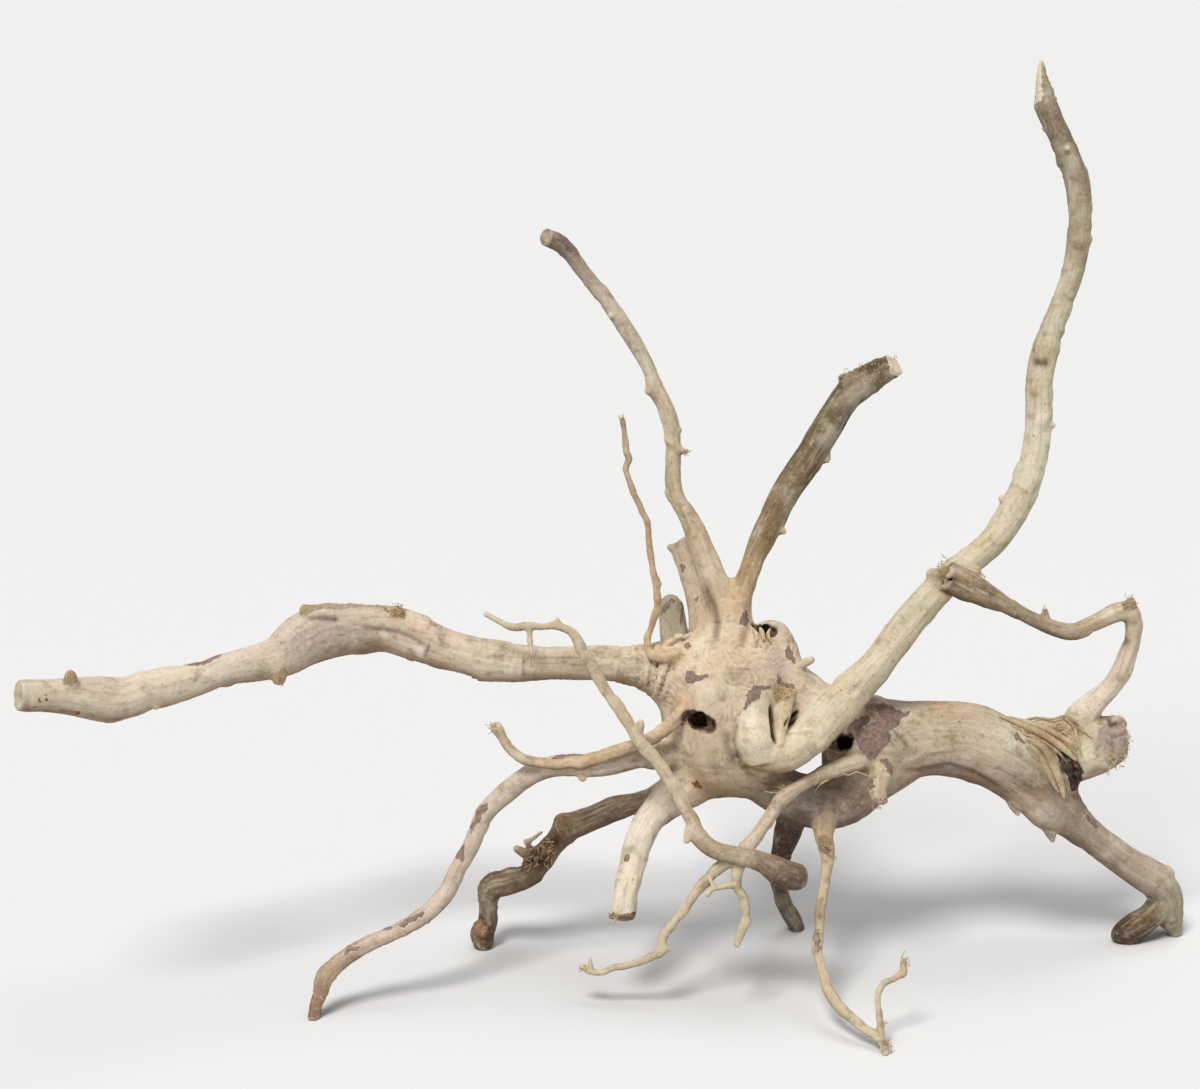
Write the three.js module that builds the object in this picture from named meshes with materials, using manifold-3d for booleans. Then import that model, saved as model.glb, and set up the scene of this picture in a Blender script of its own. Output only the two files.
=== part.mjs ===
// A piece of bleached driftwood that grew as one: a knotted stump with limbs, roots, twigs and broken stubs.
// Millimetres, +Z up. It rests on the feet of its roots, with the origin on the floor below its box's centre.
import * as THREE from "three";
import Module from "manifold-3d";

const wasm = await Module();
wasm.setup();

// Every route is drawn on a sheet that stands at the stump and leans back as the piece is looked down on.
// A point is [across, down, forward, radius] in millimetres: across and down run from the sheet's upper left
// corner, forward is the distance in front of the sheet, and the radius is the half thickness drawn there.
const SHEET_MIDDLE = { across: 600, down: 544.5 };
const LEAN = THREE.MathUtils.degToRad(18);
const EYE = 2600; // the sheet is drawn as an eye at this distance sees it, so what lies nearer is smaller

// Where the floor and the middle of the finished box lie, measured from the sheet's middle.
const FLOOR = -408.9;
const BOX_MIDDLE = { x: 26, y: -63 };

// The rings of a tube stand this far apart.
const STEP_PER_RADIUS = 1.7;
const SHORTEST_STEP = 12;
const LONGEST_STEP = 24;

// Wood is never quite round: slow waves run in its radius, with two crests and with three round the branch.
const OVAL = { share: 0.03, crests: 2, drift: 1 / 55, start: 0 };
const LOBES = { share: 0.02, crests: 3, drift: -1 / 30, start: 1 };

// Shares of the radius: how far the middle of each kind of end stands out, and a torn end's corners.
const CAP_BULGE = { round: 0.6, sunk: 0.3, torn: -0.2, sawn: 0 };
const TEAR = { coarse: 0.35, coarseTurn: 2.4, fine: 0.15, fineTurn: 5.1 };

const NUB_SIDES = 5;
const HOLLOW_SIDES = 8;

// The block below the floor that cuts the feet flat.
const BELOW = { halfWidth: 2000, depth: 200 };

const WOOD = new THREE.MeshStandardMaterial({
  name: "wood",
  color: 0xcdbea4,
  roughness: 0.85,
  metalness: 0,
});

// A route's ends are sawn (flat), round (worn), torn (jagged) or sunk (buried in the wood it grows from).
const ROUTES = [
  {
    name: "stump",
    sides: 12,
    ends: ["sunk", "round"],
    points: [
      [731, 608, 24, 18],
      [730, 640, 28, 26],
      [727, 664, 32, 44],
      [727, 692, 34, 59],
      [727, 720, 34, 60],
      [727, 746, 32, 50],
      [730, 768, 28, 30],
    ],
  },
  {
    name: "shoulder",
    sides: 12,
    ends: ["sunk", "sunk"],
    points: [
      [742, 676, 28, 36],
      [775, 686, 30, 34],
      [808, 704, 32, 29],
      [838, 722, 32, 30],
    ],
  },
  {
    name: "left arm",
    sides: 11,
    ends: ["sawn", "sunk"],
    points: [
      [18, 694, 195, 15.5],
      [62, 696, 173, 18],
      [100, 699.5, 155, 22.5],
      [122, 699, 145, 21.8],
      [146, 690, 134, 20.3],
      [170, 685.5, 123, 18.8],
      [200, 678.5, 110, 15.8],
      [228, 668.5, 99, 15.6],
      [257, 663, 88, 18.6],
      [284, 654.5, 79, 22],
      [304, 640.5, 72, 25.8],
      [326, 632, 66, 27.2],
      [355, 629, 60, 25],
      [385, 628.5, 56, 23.2],
      [410, 636, 52, 23],
      [441, 648, 48, 19.8],
      [470, 656.5, 45, 19.8],
      [494, 661.5, 42, 21.2],
      [537, 662.5, 40, 17],
      [575, 662.5, 38, 17.5],
      [615, 663.5, 36, 18.5],
      [642, 666, 35, 21.5],
      [666, 670, 34, 29],
      [690, 677, 34, 40],
      [712, 684, 34, 46],
    ],
  },
  {
    name: "upper left limb",
    sides: 8,
    ends: ["sunk", "sawn"],
    points: [
      [729, 618, 24, 15],
      [714, 582, 20, 13.8],
      [703, 552, 15, 12.2],
      [688, 516, 10, 9.4],
      [678, 500, 8, 8.4],
      [672.5, 480, 5, 8.4],
      [673, 460, 3, 7.8],
      [673, 440, 2, 8],
      [670.5, 425, 1, 8.2],
      [664, 404, 0, 8],
      [656, 389, -1, 8.2],
      [651, 376, -2, 7.2],
      [645, 362, -3, 7],
      [634.5, 343, -4, 8],
      [622.5, 323, -5, 8],
      [609, 304, -5, 7.6],
      [594, 286, -5, 7.5],
      [580, 266, -4, 7.5],
      [570, 253, -1, 7.8],
      [560, 243.5, 6, 8.8],
      [545.5, 236.5, 20, 9.2],
    ],
  },
  {
    name: "upper right limb",
    sides: 10,
    ends: ["sunk", "sawn"],
    points: [
      [732, 618, 24, 14],
      [744, 586, 20, 11.5],
      [752, 562, 16, 11],
      [762, 540, 12, 13.2],
      [772, 520, 9, 13.4],
      [785, 493, 5, 14.2],
      [801, 470, 0, 14.8],
      [813.5, 450, -4, 14.6],
      [826.5, 429, -8, 15],
      [838, 409.5, -11, 15],
      [849.5, 393.5, -13, 15.6],
      [864, 382.5, -12, 15],
      [881, 372, -10, 13.2],
      [898, 363.5, -7, 10.6],
    ],
  },
  {
    name: "web between the two limbs",
    sides: 8,
    ends: ["sunk", "round"],
    points: [
      [731, 616, 24, 14],
      [731.5, 596, 21, 11],
      [732, 583, 18, 6],
    ],
  },
  {
    name: "fold below the left arm",
    sides: 8,
    ends: ["sunk", "sunk"],
    points: [
      [652, 680, 34, 12],
      [676, 700, 34, 17],
      [686, 726, 34, 19],
      [694, 752, 32, 20],
    ],
  },
  {
    name: "cut stub behind the neck",
    sides: 8,
    ends: ["sawn", "sunk"],
    points: [
      [684.5, 540, -30, 16.5],
      [696, 572, -24, 16.8],
      [706, 602, -12, 19],
      [714, 640, 8, 26],
    ],
  },
  {
    name: "broken stub at the left of the neck",
    sides: 8,
    ends: ["round", "sunk"],
    points: [
      [671, 603, -45, 12.5],
      [672.5, 618, -42, 14],
      [676, 640, -30, 16],
      [690, 668, -8, 22],
    ],
  },
  {
    name: "hollow collar",
    sides: 10,
    ends: ["torn", "sunk"],
    points: [
      [766, 627, 24, 16],
      [770, 638, 20, 20],
      [773, 655, 18, 25],
      [772, 676, 20, 28],
    ],
  },
  {
    name: "root of the tall limb, going down",
    sides: 10,
    ends: ["sunk", "sunk"],
    points: [
      [752, 692, 52, 18],
      [751, 716, 60, 19],
      [753, 738, 64, 20.5],
      [757, 757, 64, 17],
    ],
  },
  {
    name: "tall limb",
    sides: 9,
    ends: ["sunk", "round"],
    points: [
      [746, 744, 62, 15],
      [762, 752, 65, 19],
      [782, 752.5, 66, 19.5],
      [803, 740, 66, 19],
      [822, 722, 64, 20],
      [842, 702, 62, 20],
      [862, 680, 60, 17.2],
      [880, 660, 58, 16.5],
      [910, 621, 55, 16.4],
      [934, 593.5, 52, 16.4],
      [957, 571.5, 49, 15.2],
      [981, 552.5, 46, 13],
      [993.5, 541, 44, 13.2],
      [1006, 523, 40, 14.2],
      [1016, 506, 36, 14.5],
      [1026, 486, 32, 14.4],
      [1032.5, 464, 28, 13.6],
      [1037, 440, 24, 13.2],
      [1039, 415, 20, 12.9],
      [1039.5, 385, 16, 12.7],
      [1045, 353, 12, 13.2],
      [1050, 336, 9, 12.4],
      [1063.5, 300, 4, 10.8],
      [1070.5, 280, 0, 10.5],
      [1076, 260, -2, 11.4],
      [1079, 240, -4, 11.8],
      [1079.7, 218, -6, 11.2],
      [1079.5, 198, -8, 12.2],
      [1077.5, 183, -9, 12.4],
      [1071, 165, -10, 11.9],
      [1064, 145, -12, 11.2],
      [1054.5, 125, -14, 11],
      [1046, 105, -15, 11.2],
      [1044, 88, -16, 7.8],
      [1042.3, 72, -17, 4.6],
      [1041.3, 61, -18, 2],
    ],
  },
  {
    name: "torn wedge",
    sides: 8,
    ends: ["torn", "round"],
    points: [
      [783, 692, 54, 12],
      [782, 712, 62, 9.5],
      [780, 732, 70, 6],
      [779.5, 745, 74, 4],
    ],
  },
  {
    name: "right trunk, upper lobe",
    sides: 12,
    ends: ["sunk", "round"],
    points: [
      [840, 708, 26, 22],
      [854, 728, 18, 32],
      [873, 741, 12, 44.5],
      [900, 739, 8, 38.6],
      [930, 736, 5, 34.8],
      [960, 736, 2, 34],
      [988, 744.5, -1, 33],
      [1010, 755, -5, 32],
      [1032, 769, -9, 31],
      [1050, 787, -14, 26],
      [1062, 802, -20, 18],
    ],
  },
  {
    name: "right trunk, lower lobe",
    sides: 10,
    ends: ["sunk", "sunk"],
    points: [
      [858, 768, 14, 24],
      [885, 767, 15, 24.5],
      [915, 759, 12, 19.5],
      [940, 755.5, 9, 20],
      [965, 759, 6, 20],
      [990, 770, 2, 18.5],
      [1012, 783.5, -4, 18.5],
      [1034, 799, -10, 20],
      [1054, 813, -16, 22],
    ],
  },
  {
    name: "right leg and heel",
    sides: 10,
    ends: ["sunk", "sawn"],
    points: [
      [1048, 800, -14, 26],
      [1073, 822, -25, 18.6],
      [1098, 841, -38, 15.4],
      [1127, 862.5, -52, 15.8],
      [1151, 877.5, -62, 17.5],
      [1165, 892, -70, 15.5],
      [1167.5, 911, -77, 14.5],
      [1172.5, 924, -81, 9.5],
      [1175, 936, -83, 5],
    ],
  },
  {
    name: "toe",
    sides: 8,
    ends: ["sunk", "round"],
    points: [
      [1161, 904, -70, 12.5],
      [1149, 917.5, -69, 12.6],
      [1137, 925.5, -68, 13.6],
      [1126, 932, -67, 12.6],
      [1119, 935, -66, 9],
    ],
  },
  {
    name: "knee",
    sides: 12,
    ends: ["sunk", "torn"],
    points: [
      [1036, 762, -12, 26],
      [1064, 754, -10, 31],
      [1092, 747, -5, 29.5],
      [1112, 739.5, -2, 22.5],
      [1126, 737, 1, 16.5],
    ],
  },
  {
    name: "torn plate over the knee",
    sides: 8,
    ends: ["sunk", "sunk"],
    points: [
      [994, 736, 4, 20],
      [1020, 739, 5, 17],
      [1046, 737, 6, 17.5],
      [1068, 738, 6, 20],
    ],
  },
  {
    name: "loop branch",
    sides: 9,
    ends: ["torn", "round"],
    points: [
      [946, 576, 70, 15],
      [964, 584, 69, 15],
      [984, 594.5, 64, 12],
      [1001, 603, 57, 9],
      [1020, 613.5, 50, 7.2],
      [1036, 621, 45, 7.6],
      [1052, 627, 40, 8],
      [1068, 631, 36, 8.7],
      [1080, 630, 33, 9],
      [1092, 624.5, 30, 8],
      [1106, 617.5, 27, 8.6],
      [1120, 612, 24, 9.5],
      [1132, 611, 22, 8.5],
    ],
  },
  {
    name: "loop branch, coming down",
    sides: 9,
    ends: ["round", "sunk"],
    points: [
      [1131, 612, 22, 8],
      [1134, 625, 20, 8.6],
      [1132, 640, 17, 7.8],
      [1127, 656, 13, 9.6],
      [1121, 672, 9, 10],
      [1110, 688, 5, 10.5],
      [1096, 701, 2, 12.3],
      [1082, 717, -2, 16],
      [1074, 738, -6, 18],
    ],
  },
  {
    name: "belly root",
    sides: 10,
    ends: ["sunk", "sunk"],
    points: [
      [748, 762, 30, 29],
      [774, 786, 22, 24.5],
      [805, 800, 15, 26.5],
      [835, 801, 12, 28],
      [860, 787, 12, 25.5],
      [884, 769, 13, 23],
    ],
  },
  {
    name: "root behind the hollow",
    sides: 8,
    ends: ["sunk", "sunk"],
    points: [
      [856, 712, -2, 22],
      [845, 745, -14, 22],
      [842, 778, -6, 20],
      [840, 795, 6, 18],
    ],
  },
  {
    name: "flaky stub pointing down",
    sides: 7,
    ends: ["sunk", "torn"],
    points: [
      [884, 746, 34, 13],
      [881.5, 767, 46, 11.4],
      [877.5, 786, 53, 9.6],
      [879.5, 804, 57, 7.6],
    ],
  },
  {
    name: "root with twigs",
    sides: 7,
    ends: ["sunk", "round"],
    points: [
      [876, 754, 36, 9],
      [860, 762, 46, 9.3],
      [838, 767.5, 54, 9],
      [815, 776.5, 61, 7.4],
      [800, 785.5, 66, 6.8],
      [785, 797, 71, 7.2],
      [775, 809, 76, 7.2],
      [765, 823, 82, 7],
      [755, 838, 88, 6.8],
      [744, 851, 92, 8.5],
    ],
  },
  {
    name: "long front root",
    sides: 7,
    ends: ["torn", "round"],
    points: [
      [800, 879, 105, 13.8],
      [783, 874, 104, 14.4],
      [762, 862, 101, 10],
      [738, 856, 98, 9],
      [712, 848.5, 97, 8.4],
      [699, 837, 96, 8.4],
      [692, 820, 96, 7.4],
      [681, 798, 95, 6.8],
      [666, 776, 94, 6.8],
      [651, 756, 93, 6.8],
      [638.5, 739, 92, 6.8],
      [625.5, 718.5, 91, 6.2],
      [614, 703, 90, 5.8],
      [603, 688, 89, 5.5],
      [594.5, 671, 88, 5.2],
      [585, 655, 87, 5.2],
      [578.5, 642, 86, 4.9],
      [569, 631.5, 86, 4.4],
      [556, 625, 85, 4.2],
      [542, 627, 84, 3.8],
      [527, 626, 83, 4],
      [513, 626.5, 82, 3.7],
      [500, 621.5, 80, 3.2],
      [485, 613.5, 78, 2.8],
    ],
  },
  {
    name: "second front root",
    sides: 7,
    ends: ["sunk", "round"],
    points: [
      [700, 694, 66, 8],
      [687, 704, 72, 7.8],
      [675, 718, 75, 7],
      [660, 731.5, 75, 7],
      [640, 742.5, 74, 6.5],
      [620, 750, 73, 6.2],
      [600, 757, 72, 6],
      [580, 762.5, 72, 6],
      [560, 764, 74, 5.5],
      [540, 762.5, 76, 5.2],
      [524, 758.5, 78, 5],
      [512, 750.5, 80, 5],
      [504, 739.5, 82, 5],
      [495, 726, 85, 6.2],
    ],
  },
  {
    name: "left front leg",
    sides: 8,
    ends: ["sunk", "sawn"],
    points: [
      [692, 748, 36, 20],
      [666, 755, 46, 15],
      [640, 757, 52, 11.5],
      [600, 765.5, 58, 11.2],
      [562, 765, 60, 10.7],
      [541, 769.5, 60, 10.2],
      [522, 779.5, 60, 10],
      [506, 793, 60, 10.4],
      [488.5, 809, 61, 9.6],
      [478.5, 828, 62, 8.6],
      [467.5, 852, 63, 8.4],
      [456, 872, 65, 8.4],
      [448, 890, 67, 8.4],
      [436, 904.5, 70, 8.8],
      [419, 919, 73, 8.4],
      [402.5, 928.5, 75, 8.1],
      [387, 936, 77, 7.6],
      [372, 942, 79, 8.2],
      [356, 951, 81, 8.2],
      [339.5, 963, 83, 8.4],
      [326, 976, 85, 9.6],
      [320, 992, 86, 7.4],
      [316, 1008, 86, 6.3],
      [313, 1021, 87, 6],
    ],
  },
  {
    name: "dark rotten leg",
    sides: 8,
    ends: ["sunk", "sawn"],
    points: [
      [688, 778, 14, 20],
      [662, 793, 4, 11.5],
      [640, 801.5, -4, 9.4],
      [615, 808.5, -12, 12.2],
      [598, 815.5, -16, 12.2],
      [580, 822.5, -20, 12.6],
      [567, 829, -24, 13],
      [553, 845, -29, 11.5],
      [540, 860, -32, 13.5],
      [529, 875, -36, 12],
      [510, 882, -42, 12.6],
      [491, 888, -46, 12.6],
      [488, 907, -50, 9.2],
      [487.5, 923, -53, 9.4],
      [482.5, 934, -55, 12],
      [485, 950, -56, 7],
    ],
  },
  {
    name: "sawn leg",
    sides: 9,
    ends: ["sunk", "sawn"],
    points: [
      [712, 756, 30, 32],
      [690, 780, 28, 25.5],
      [669, 800, 28, 18.5],
      [651, 818, 34, 15],
      [640, 838, 42, 14.6],
      [632, 865, 55, 13.2],
      [627, 890, 66, 12.2],
      [623.5, 918, 78, 11.4],
    ],
  },
  {
    name: "dark back leg",
    sides: 8,
    ends: ["sunk", "sawn"],
    points: [
      [792, 802, 8, 19],
      [789, 828, -6, 14],
      [781, 855, -30, 9.8],
      [779, 884, -55, 8.2],
      [785, 905, -75, 8.2],
      [794, 921, -91, 8.2],
      [799, 935, -99, 7.6],
    ],
  },
  {
    name: "long twig to the front",
    sides: 7,
    ends: ["sunk", "round"],
    points: [
      [824, 806, 22, 17],
      [824, 836, 34, 9.5],
      [828, 858, 44, 7],
      [826, 879, 53, 5.5],
      [822, 902, 63, 5],
      [819, 930, 78, 5],
      [817, 947, 88, 5.4],
      [820, 964, 97, 5],
      [826.5, 986.5, 109, 5.2],
      [839, 1006, 121, 5.5],
      [851, 1018.5, 131, 5.6],
      [865, 1028.5, 139, 5.3],
      [878, 1036, 146, 5.2],
      [884, 1048, 151, 4.6],
      [886, 1057, 154, 4],
    ],
  },
  {
    name: "upright fork of the long twig",
    sides: 6,
    ends: ["sunk", "torn"],
    points: [
      [881, 1034, 146, 4],
      [880, 1020, 144, 3.7],
      [878, 1005, 142, 3.1],
      [878.5, 993, 140, 3.4],
      [885, 982.5, 138, 3.6],
      [895, 978, 136, 3.6],
      [902, 972, 134, 4],
      [904, 960, 132, 3.2],
    ],
  },
  {
    name: "curled twig",
    sides: 6,
    ends: ["sunk", "round"],
    points: [
      [738, 855, 93, 7],
      [720, 868, 92, 6.2],
      [706, 881, 90, 5.6],
      [696, 891, 89, 4.8],
      [688, 903, 87, 5],
      [678, 917, 86, 4.5],
      [667, 931, 84, 5],
      [661, 941, 84, 5.2],
      [662, 950, 84, 5.2],
      [650, 956.5, 82, 4.2],
      [640, 961.5, 80, 3.5],
      [618, 967.5, 76, 3.3],
      [598, 972.5, 72, 3.4],
      [580, 967, 69, 2.8],
    ],
  },
  {
    name: "hanging twig",
    sides: 6,
    ends: ["sunk", "round"],
    points: [
      [741, 857, 93, 7],
      [737, 881, 94, 5.6],
      [743, 895, 95, 4.7],
      [746, 912, 97, 4.5],
      [742, 925, 98, 5],
      [738, 936, 99, 4],
      [737, 946, 100, 3.3],
    ],
  },
  {
    name: "side fork of the hanging twig",
    sides: 6,
    ends: ["sunk", "round"],
    points: [
      [738, 884, 94, 4],
      [724, 886, 95, 3.3],
      [713, 888.5, 96, 3.2],
      [707, 896, 97, 2.8],
    ],
  },
  {
    name: "thin upright twig",
    sides: 6,
    ends: ["torn", "sunk"],
    points: [
      [622, 419, 54, 3],
      [624, 432, 54, 3.1],
      [626, 451, 54, 3.1],
      [629, 459, 54, 3.2],
      [626.5, 469, 54, 3.1],
      [631, 484, 54, 3],
      [640, 507, 54, 3.2],
      [648, 526, 54, 3.1],
      [650, 545, 54, 3.1],
      [652.5, 566, 54, 3.3],
      [656, 590, 54, 3.7],
      [656.5, 608, 54, 3.7],
      [653, 624, 54, 3.5],
      [647, 639, 55, 3.4],
      [649.5, 652, 57, 4],
      [656, 656.5, 62, 5],
      [672, 655.5, 65, 6.5],
      [690, 656.5, 62, 7],
    ],
  },
];

// Nubs, knots, burls and prongs: short stubs from the first point, inside the wood, to the second.
const NUBS = [
  { name: "small twig on the right shoulder", from: [796, 668, 46, 5], to: [812.5, 659, 50, 3.8] },
  { name: "burl near the left arm's end", from: [71, 684, 180, 8], to: [70, 674, 186, 5] },
  { name: "burl on the left arm's ridge", from: [397, 622, 64, 8.5], to: [396.5, 610, 70, 6.5] },
  { name: "knot under the left arm", from: [277, 664, 88, 13], to: [279, 681, 94, 5.5] },
  { name: "lip of the ridge", from: [315, 614, 74, 9], to: [302, 608, 78, 3.5] },
  { name: "bark step under the left arm", from: [156, 700, 138, 6], to: [156, 708, 142, 3] },
  { name: "nub on the upper left limb, low", from: [672, 497, 8, 5], to: [666, 491, 9, 2.4] },
  { name: "frayed spike", from: [674, 450, 4, 5], to: [688, 452, 6, 2] },
  { name: "nub on the upper left limb, middle", from: [674, 429, 2, 4.5], to: [680.5, 430, 3, 2.5] },
  { name: "bump on the upper left limb", from: [652, 391, 0, 5.5], to: [646, 391, 1, 2.6] },
  { name: "nub on the upper left limb, high", from: [615, 315, -3, 4.5], to: [610.5, 316, 2, 3] },
  { name: "nub on the upper right limb", from: [777, 530, 12, 5], to: [785, 532, 16, 2.6] },
  { name: "nub on the cut stub", from: [675, 549, -28, 5], to: [668, 547, -26, 2.5] },
  { name: "nub on the tall limb, low", from: [1006, 502, 40, 5], to: [1000, 497, 42, 2.5] },
  { name: "nub on the tall limb, middle", from: [1046, 426, 24, 5], to: [1054.5, 425, 26, 2.2] },
  { name: "ring on the tall limb", from: [1084, 241, -2, 7], to: [1090.5, 239, 0, 3] },
  { name: "knot on the tall limb", from: [1067, 150, -6, 5], to: [1067.5, 148, 4, 3.4] },
  { name: "web at the fork", from: [962, 570, 56, 10], to: [976, 574, 56, 8] },
  { name: "bump at the fork", from: [936, 583, 56, 10], to: [932, 572, 58, 6] },
  { name: "bump on the heel", from: [1158, 878, -64, 12], to: [1168, 873, -66, 8] },
  { name: "frayed nub on the loop branch", from: [1045, 620, 43, 5], to: [1045, 610, 45, 3] },
  { name: "frayed upper edge of the elbow", from: [1126, 610, 24, 7], to: [1132, 600, 26, 4] },
  { name: "knob on the long front root", from: [638, 733, 93, 4.6], to: [641, 722, 95, 4] },
  { name: "spike on the long front root", from: [558, 625, 85, 3.2], to: [557, 618, 86, 1.8] },
  { name: "knot on the long front root", from: [690, 830, 98, 6], to: [686, 842, 101, 3] },
  { name: "nub on the left front leg", from: [582, 773, 62, 6], to: [583, 780, 66, 3] },
  { name: "nub at the rotten bend", from: [532, 856, -32, 6.5], to: [515, 848, -30, 3.4] },
  { name: "nub on the sawn leg", from: [618, 910, 74, 5], to: [610.5, 917, 77, 3.4] },
  { name: "nub under the trunk, left", from: [1016, 800, -2, 8], to: [1017, 813, 2, 5] },
  { name: "nub under the trunk, right", from: [1052, 830, -14, 9], to: [1052, 841, -12, 5] },
  { name: "prong of the curled twig", from: [591, 971, 71, 3], to: [590, 958, 72, 1.8] },
  { name: "prong of the side fork", from: [715, 888, 96, 3], to: [710, 879, 97, 1.8] },
  { name: "twiglet at the rotten bend, lower part", from: [534, 853, -31, 3.2], to: [526, 841, -29, 2.6] },
  { name: "twiglet at the rotten bend, upper part", from: [526, 843, -29, 2.7], to: [542, 832, -26, 1.8] },
  { name: "nub on the hanging twig", from: [744, 921, 97, 4], to: [751, 922, 98, 2.4] },
  { name: "knot of the curled twig", from: [661, 947, 84, 4.8], to: [669, 949, 86, 3.4] },
  { name: "spike on the upper right limb", from: [826, 456, -6, 5], to: [826, 461, 0, 3] },
  { name: "lip of the upper right limb", from: [852, 388, -12, 12], to: [843, 376, -10, 7] },
  { name: "splinter at the sawn end", from: [896, 361, -8, 5], to: [905, 354, -8, 1.6] },
  { name: "nub on the thin twig", from: [656, 585, 54, 3], to: [661, 583.5, 55, 1.8] },
  { name: "twiglet on the long front root, upper part", from: [529, 628, 83, 3.4], to: [530, 643, 85, 2.2] },
  { name: "twiglet on the long front root, lower part", from: [530, 640, 84.5, 2.4], to: [532, 656, 87, 2] },
];

// Hollows, cut from their mouth to their bottom.
const HOLLOWS = [
  {
    name: "black hole in the stump",
    points: [
      [700, 722, 110, 10],
      [701, 722, 74, 9.6],
      [706, 722, 46, 7],
    ],
  },
  {
    name: "inside of the collar",
    points: [
      [760, 610, 44, 12],
      [766, 632, 30, 12],
      [770, 652, 22, 8],
    ],
  },
  {
    name: "hollow beside the knee",
    points: [
      [1069, 760, 60, 9],
      [1068, 759, 20, 9],
      [1063, 760, 2, 7],
    ],
  },
  {
    name: "hollow beside the tall limb's root",
    points: [
      [846, 744, 90, 11],
      [845, 744, 36, 11],
      [843, 746, 14, 8],
    ],
  },
];

// A drawn point in space, with its radius as it really is.
function place([across, down, forward, radius]) {
  const shrink = (EYE - forward) / EYE;
  const up = (SHEET_MIDDLE.down - down) * shrink;
  const spot = new THREE.Vector3(
    (across - SHEET_MIDDLE.across) * shrink - BOX_MIDDLE.x,
    up * Math.sin(LEAN) - forward * Math.cos(LEAN) - BOX_MIDDLE.y,
    up * Math.cos(LEAN) + forward * Math.sin(LEAN) - FLOOR,
  );
  return { spot, radius: radius * shrink };
}

// The places along a route where its rings stand, with the radius of each.
function ringPlaces(points) {
  const placed = points.map(place);
  const curve = new THREE.CatmullRomCurve3(placed.map((p) => p.spot));
  const radii = new THREE.CatmullRomCurve3(
    placed.map((p, i) => new THREE.Vector3(i, p.radius, 0)),
  );
  const rings = [];
  for (let i = 0; i + 1 < placed.length; i++) {
    const here = placed[i];
    const next = placed[i + 1];
    const step = THREE.MathUtils.clamp(
      Math.min(here.radius, next.radius) * STEP_PER_RADIUS,
      SHORTEST_STEP,
      LONGEST_STEP,
    );
    const steps = Math.max(1, Math.round(here.spot.distanceTo(next.spot) / step));
    for (let k = 0; k < steps; k++) {
      const t = (i + k / steps) / (placed.length - 1);
      rings.push({ spot: curve.getPoint(t), radius: radii.getPoint(t).y, along: curve.getTangent(t) });
    }
  }
  rings.push({ spot: placed.at(-1).spot, radius: placed.at(-1).radius, along: curve.getTangent(1) });
  return rings;
}

function wave({ share, crests, drift, start }, angle, distance) {
  return share * Math.sin(crests * angle + drift * distance + start);
}

// A factor on the radius at an angle round the branch and a distance along it.
function unevenness(angle, distance) {
  return 1 + wave(OVAL, angle, distance) + wave(LOBES, angle, distance);
}

// How far a corner of an end ring stands out along the branch, as a share of the radius.
function endOffset(kind, corner) {
  if (kind !== "torn") return 0;
  return TEAR.coarse * Math.sin(corner * TEAR.coarseTurn) + TEAR.fine * Math.sin(corner * TEAR.fineTurn);
}

// A closed tube through the rings, with a cap at each end.
function tube({ name, sides, ends, points }) {
  const rings = ringPlaces(points);
  const vertices = [];
  const triangles = [];
  let across = new THREE.Vector3(0, 0, 1);
  let distance = 0;
  rings.forEach(({ spot, radius, along }, r) => {
    across = across.clone().addScaledVector(along, -across.dot(along)).normalize();
    const beside = new THREE.Vector3().crossVectors(along, across);
    if (r > 0) distance += spot.distanceTo(rings[r - 1].spot);
    const kind = r === 0 ? ends[0] : r === rings.length - 1 ? ends[1] : "none";
    for (let k = 0; k < sides; k++) {
      const angle = (k / sides) * 2 * Math.PI;
      const reach = radius * unevenness(angle, distance);
      const corner = spot
        .clone()
        .addScaledVector(across, Math.cos(angle) * reach)
        .addScaledVector(beside, Math.sin(angle) * reach)
        .addScaledVector(along, endOffset(kind, k) * radius);
      if (r > 0) {
        const before = vertices[(r - 1) * sides + k];
        if (corner.clone().sub(before).dot(rings[r - 1].along) <= 0) {
          throw new Error(name + " folds over itself near its ring " + r);
        }
      }
      vertices.push(corner);
    }
  });
  for (let r = 0; r + 1 < rings.length; r++) {
    for (let k = 0; k < sides; k++) {
      const a = r * sides + k;
      const b = r * sides + ((k + 1) % sides);
      triangles.push([a, b, b + sides], [a, b + sides, a + sides]);
    }
  }
  [0, rings.length - 1].forEach((r, end) => {
    const { spot, radius, along } = rings[r];
    const outward = end === 0 ? -1 : 1;
    const middle = vertices.length;
    vertices.push(spot.clone().addScaledVector(along, outward * CAP_BULGE[ends[end]] * radius));
    for (let k = 0; k < sides; k++) {
      const a = r * sides + k;
      const b = r * sides + ((k + 1) % sides);
      triangles.push(end === 0 ? [middle, b, a] : [middle, a, b]);
    }
  });
  return solid(vertices, triangles);
}

function solid(vertices, triangles) {
  return new wasm.Manifold(
    new wasm.Mesh({
      numProp: 3,
      vertProperties: new Float32Array(vertices.flatMap((v) => v.toArray())),
      triVerts: new Uint32Array(triangles.flat()),
    }),
  );
}

// What lies below the floor, so that the feet are cut flat where they stand.
function underTheFloor() {
  const corners = [];
  for (const z of [-BELOW.depth, 0]) {
    for (const [x, y] of [
      [-1, -1],
      [1, -1],
      [1, 1],
      [-1, 1],
    ]) {
      corners.push(new THREE.Vector3(x * BELOW.halfWidth, y * BELOW.halfWidth, z));
    }
  }
  const triangles = [
    [0, 2, 1],
    [0, 3, 2],
    [4, 5, 6],
    [4, 6, 7],
  ];
  for (let k = 0; k < 4; k++) {
    const next = (k + 1) % 4;
    triangles.push([k, next, next + 4], [k, next + 4, k + 4]);
  }
  return solid(corners, triangles);
}

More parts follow.
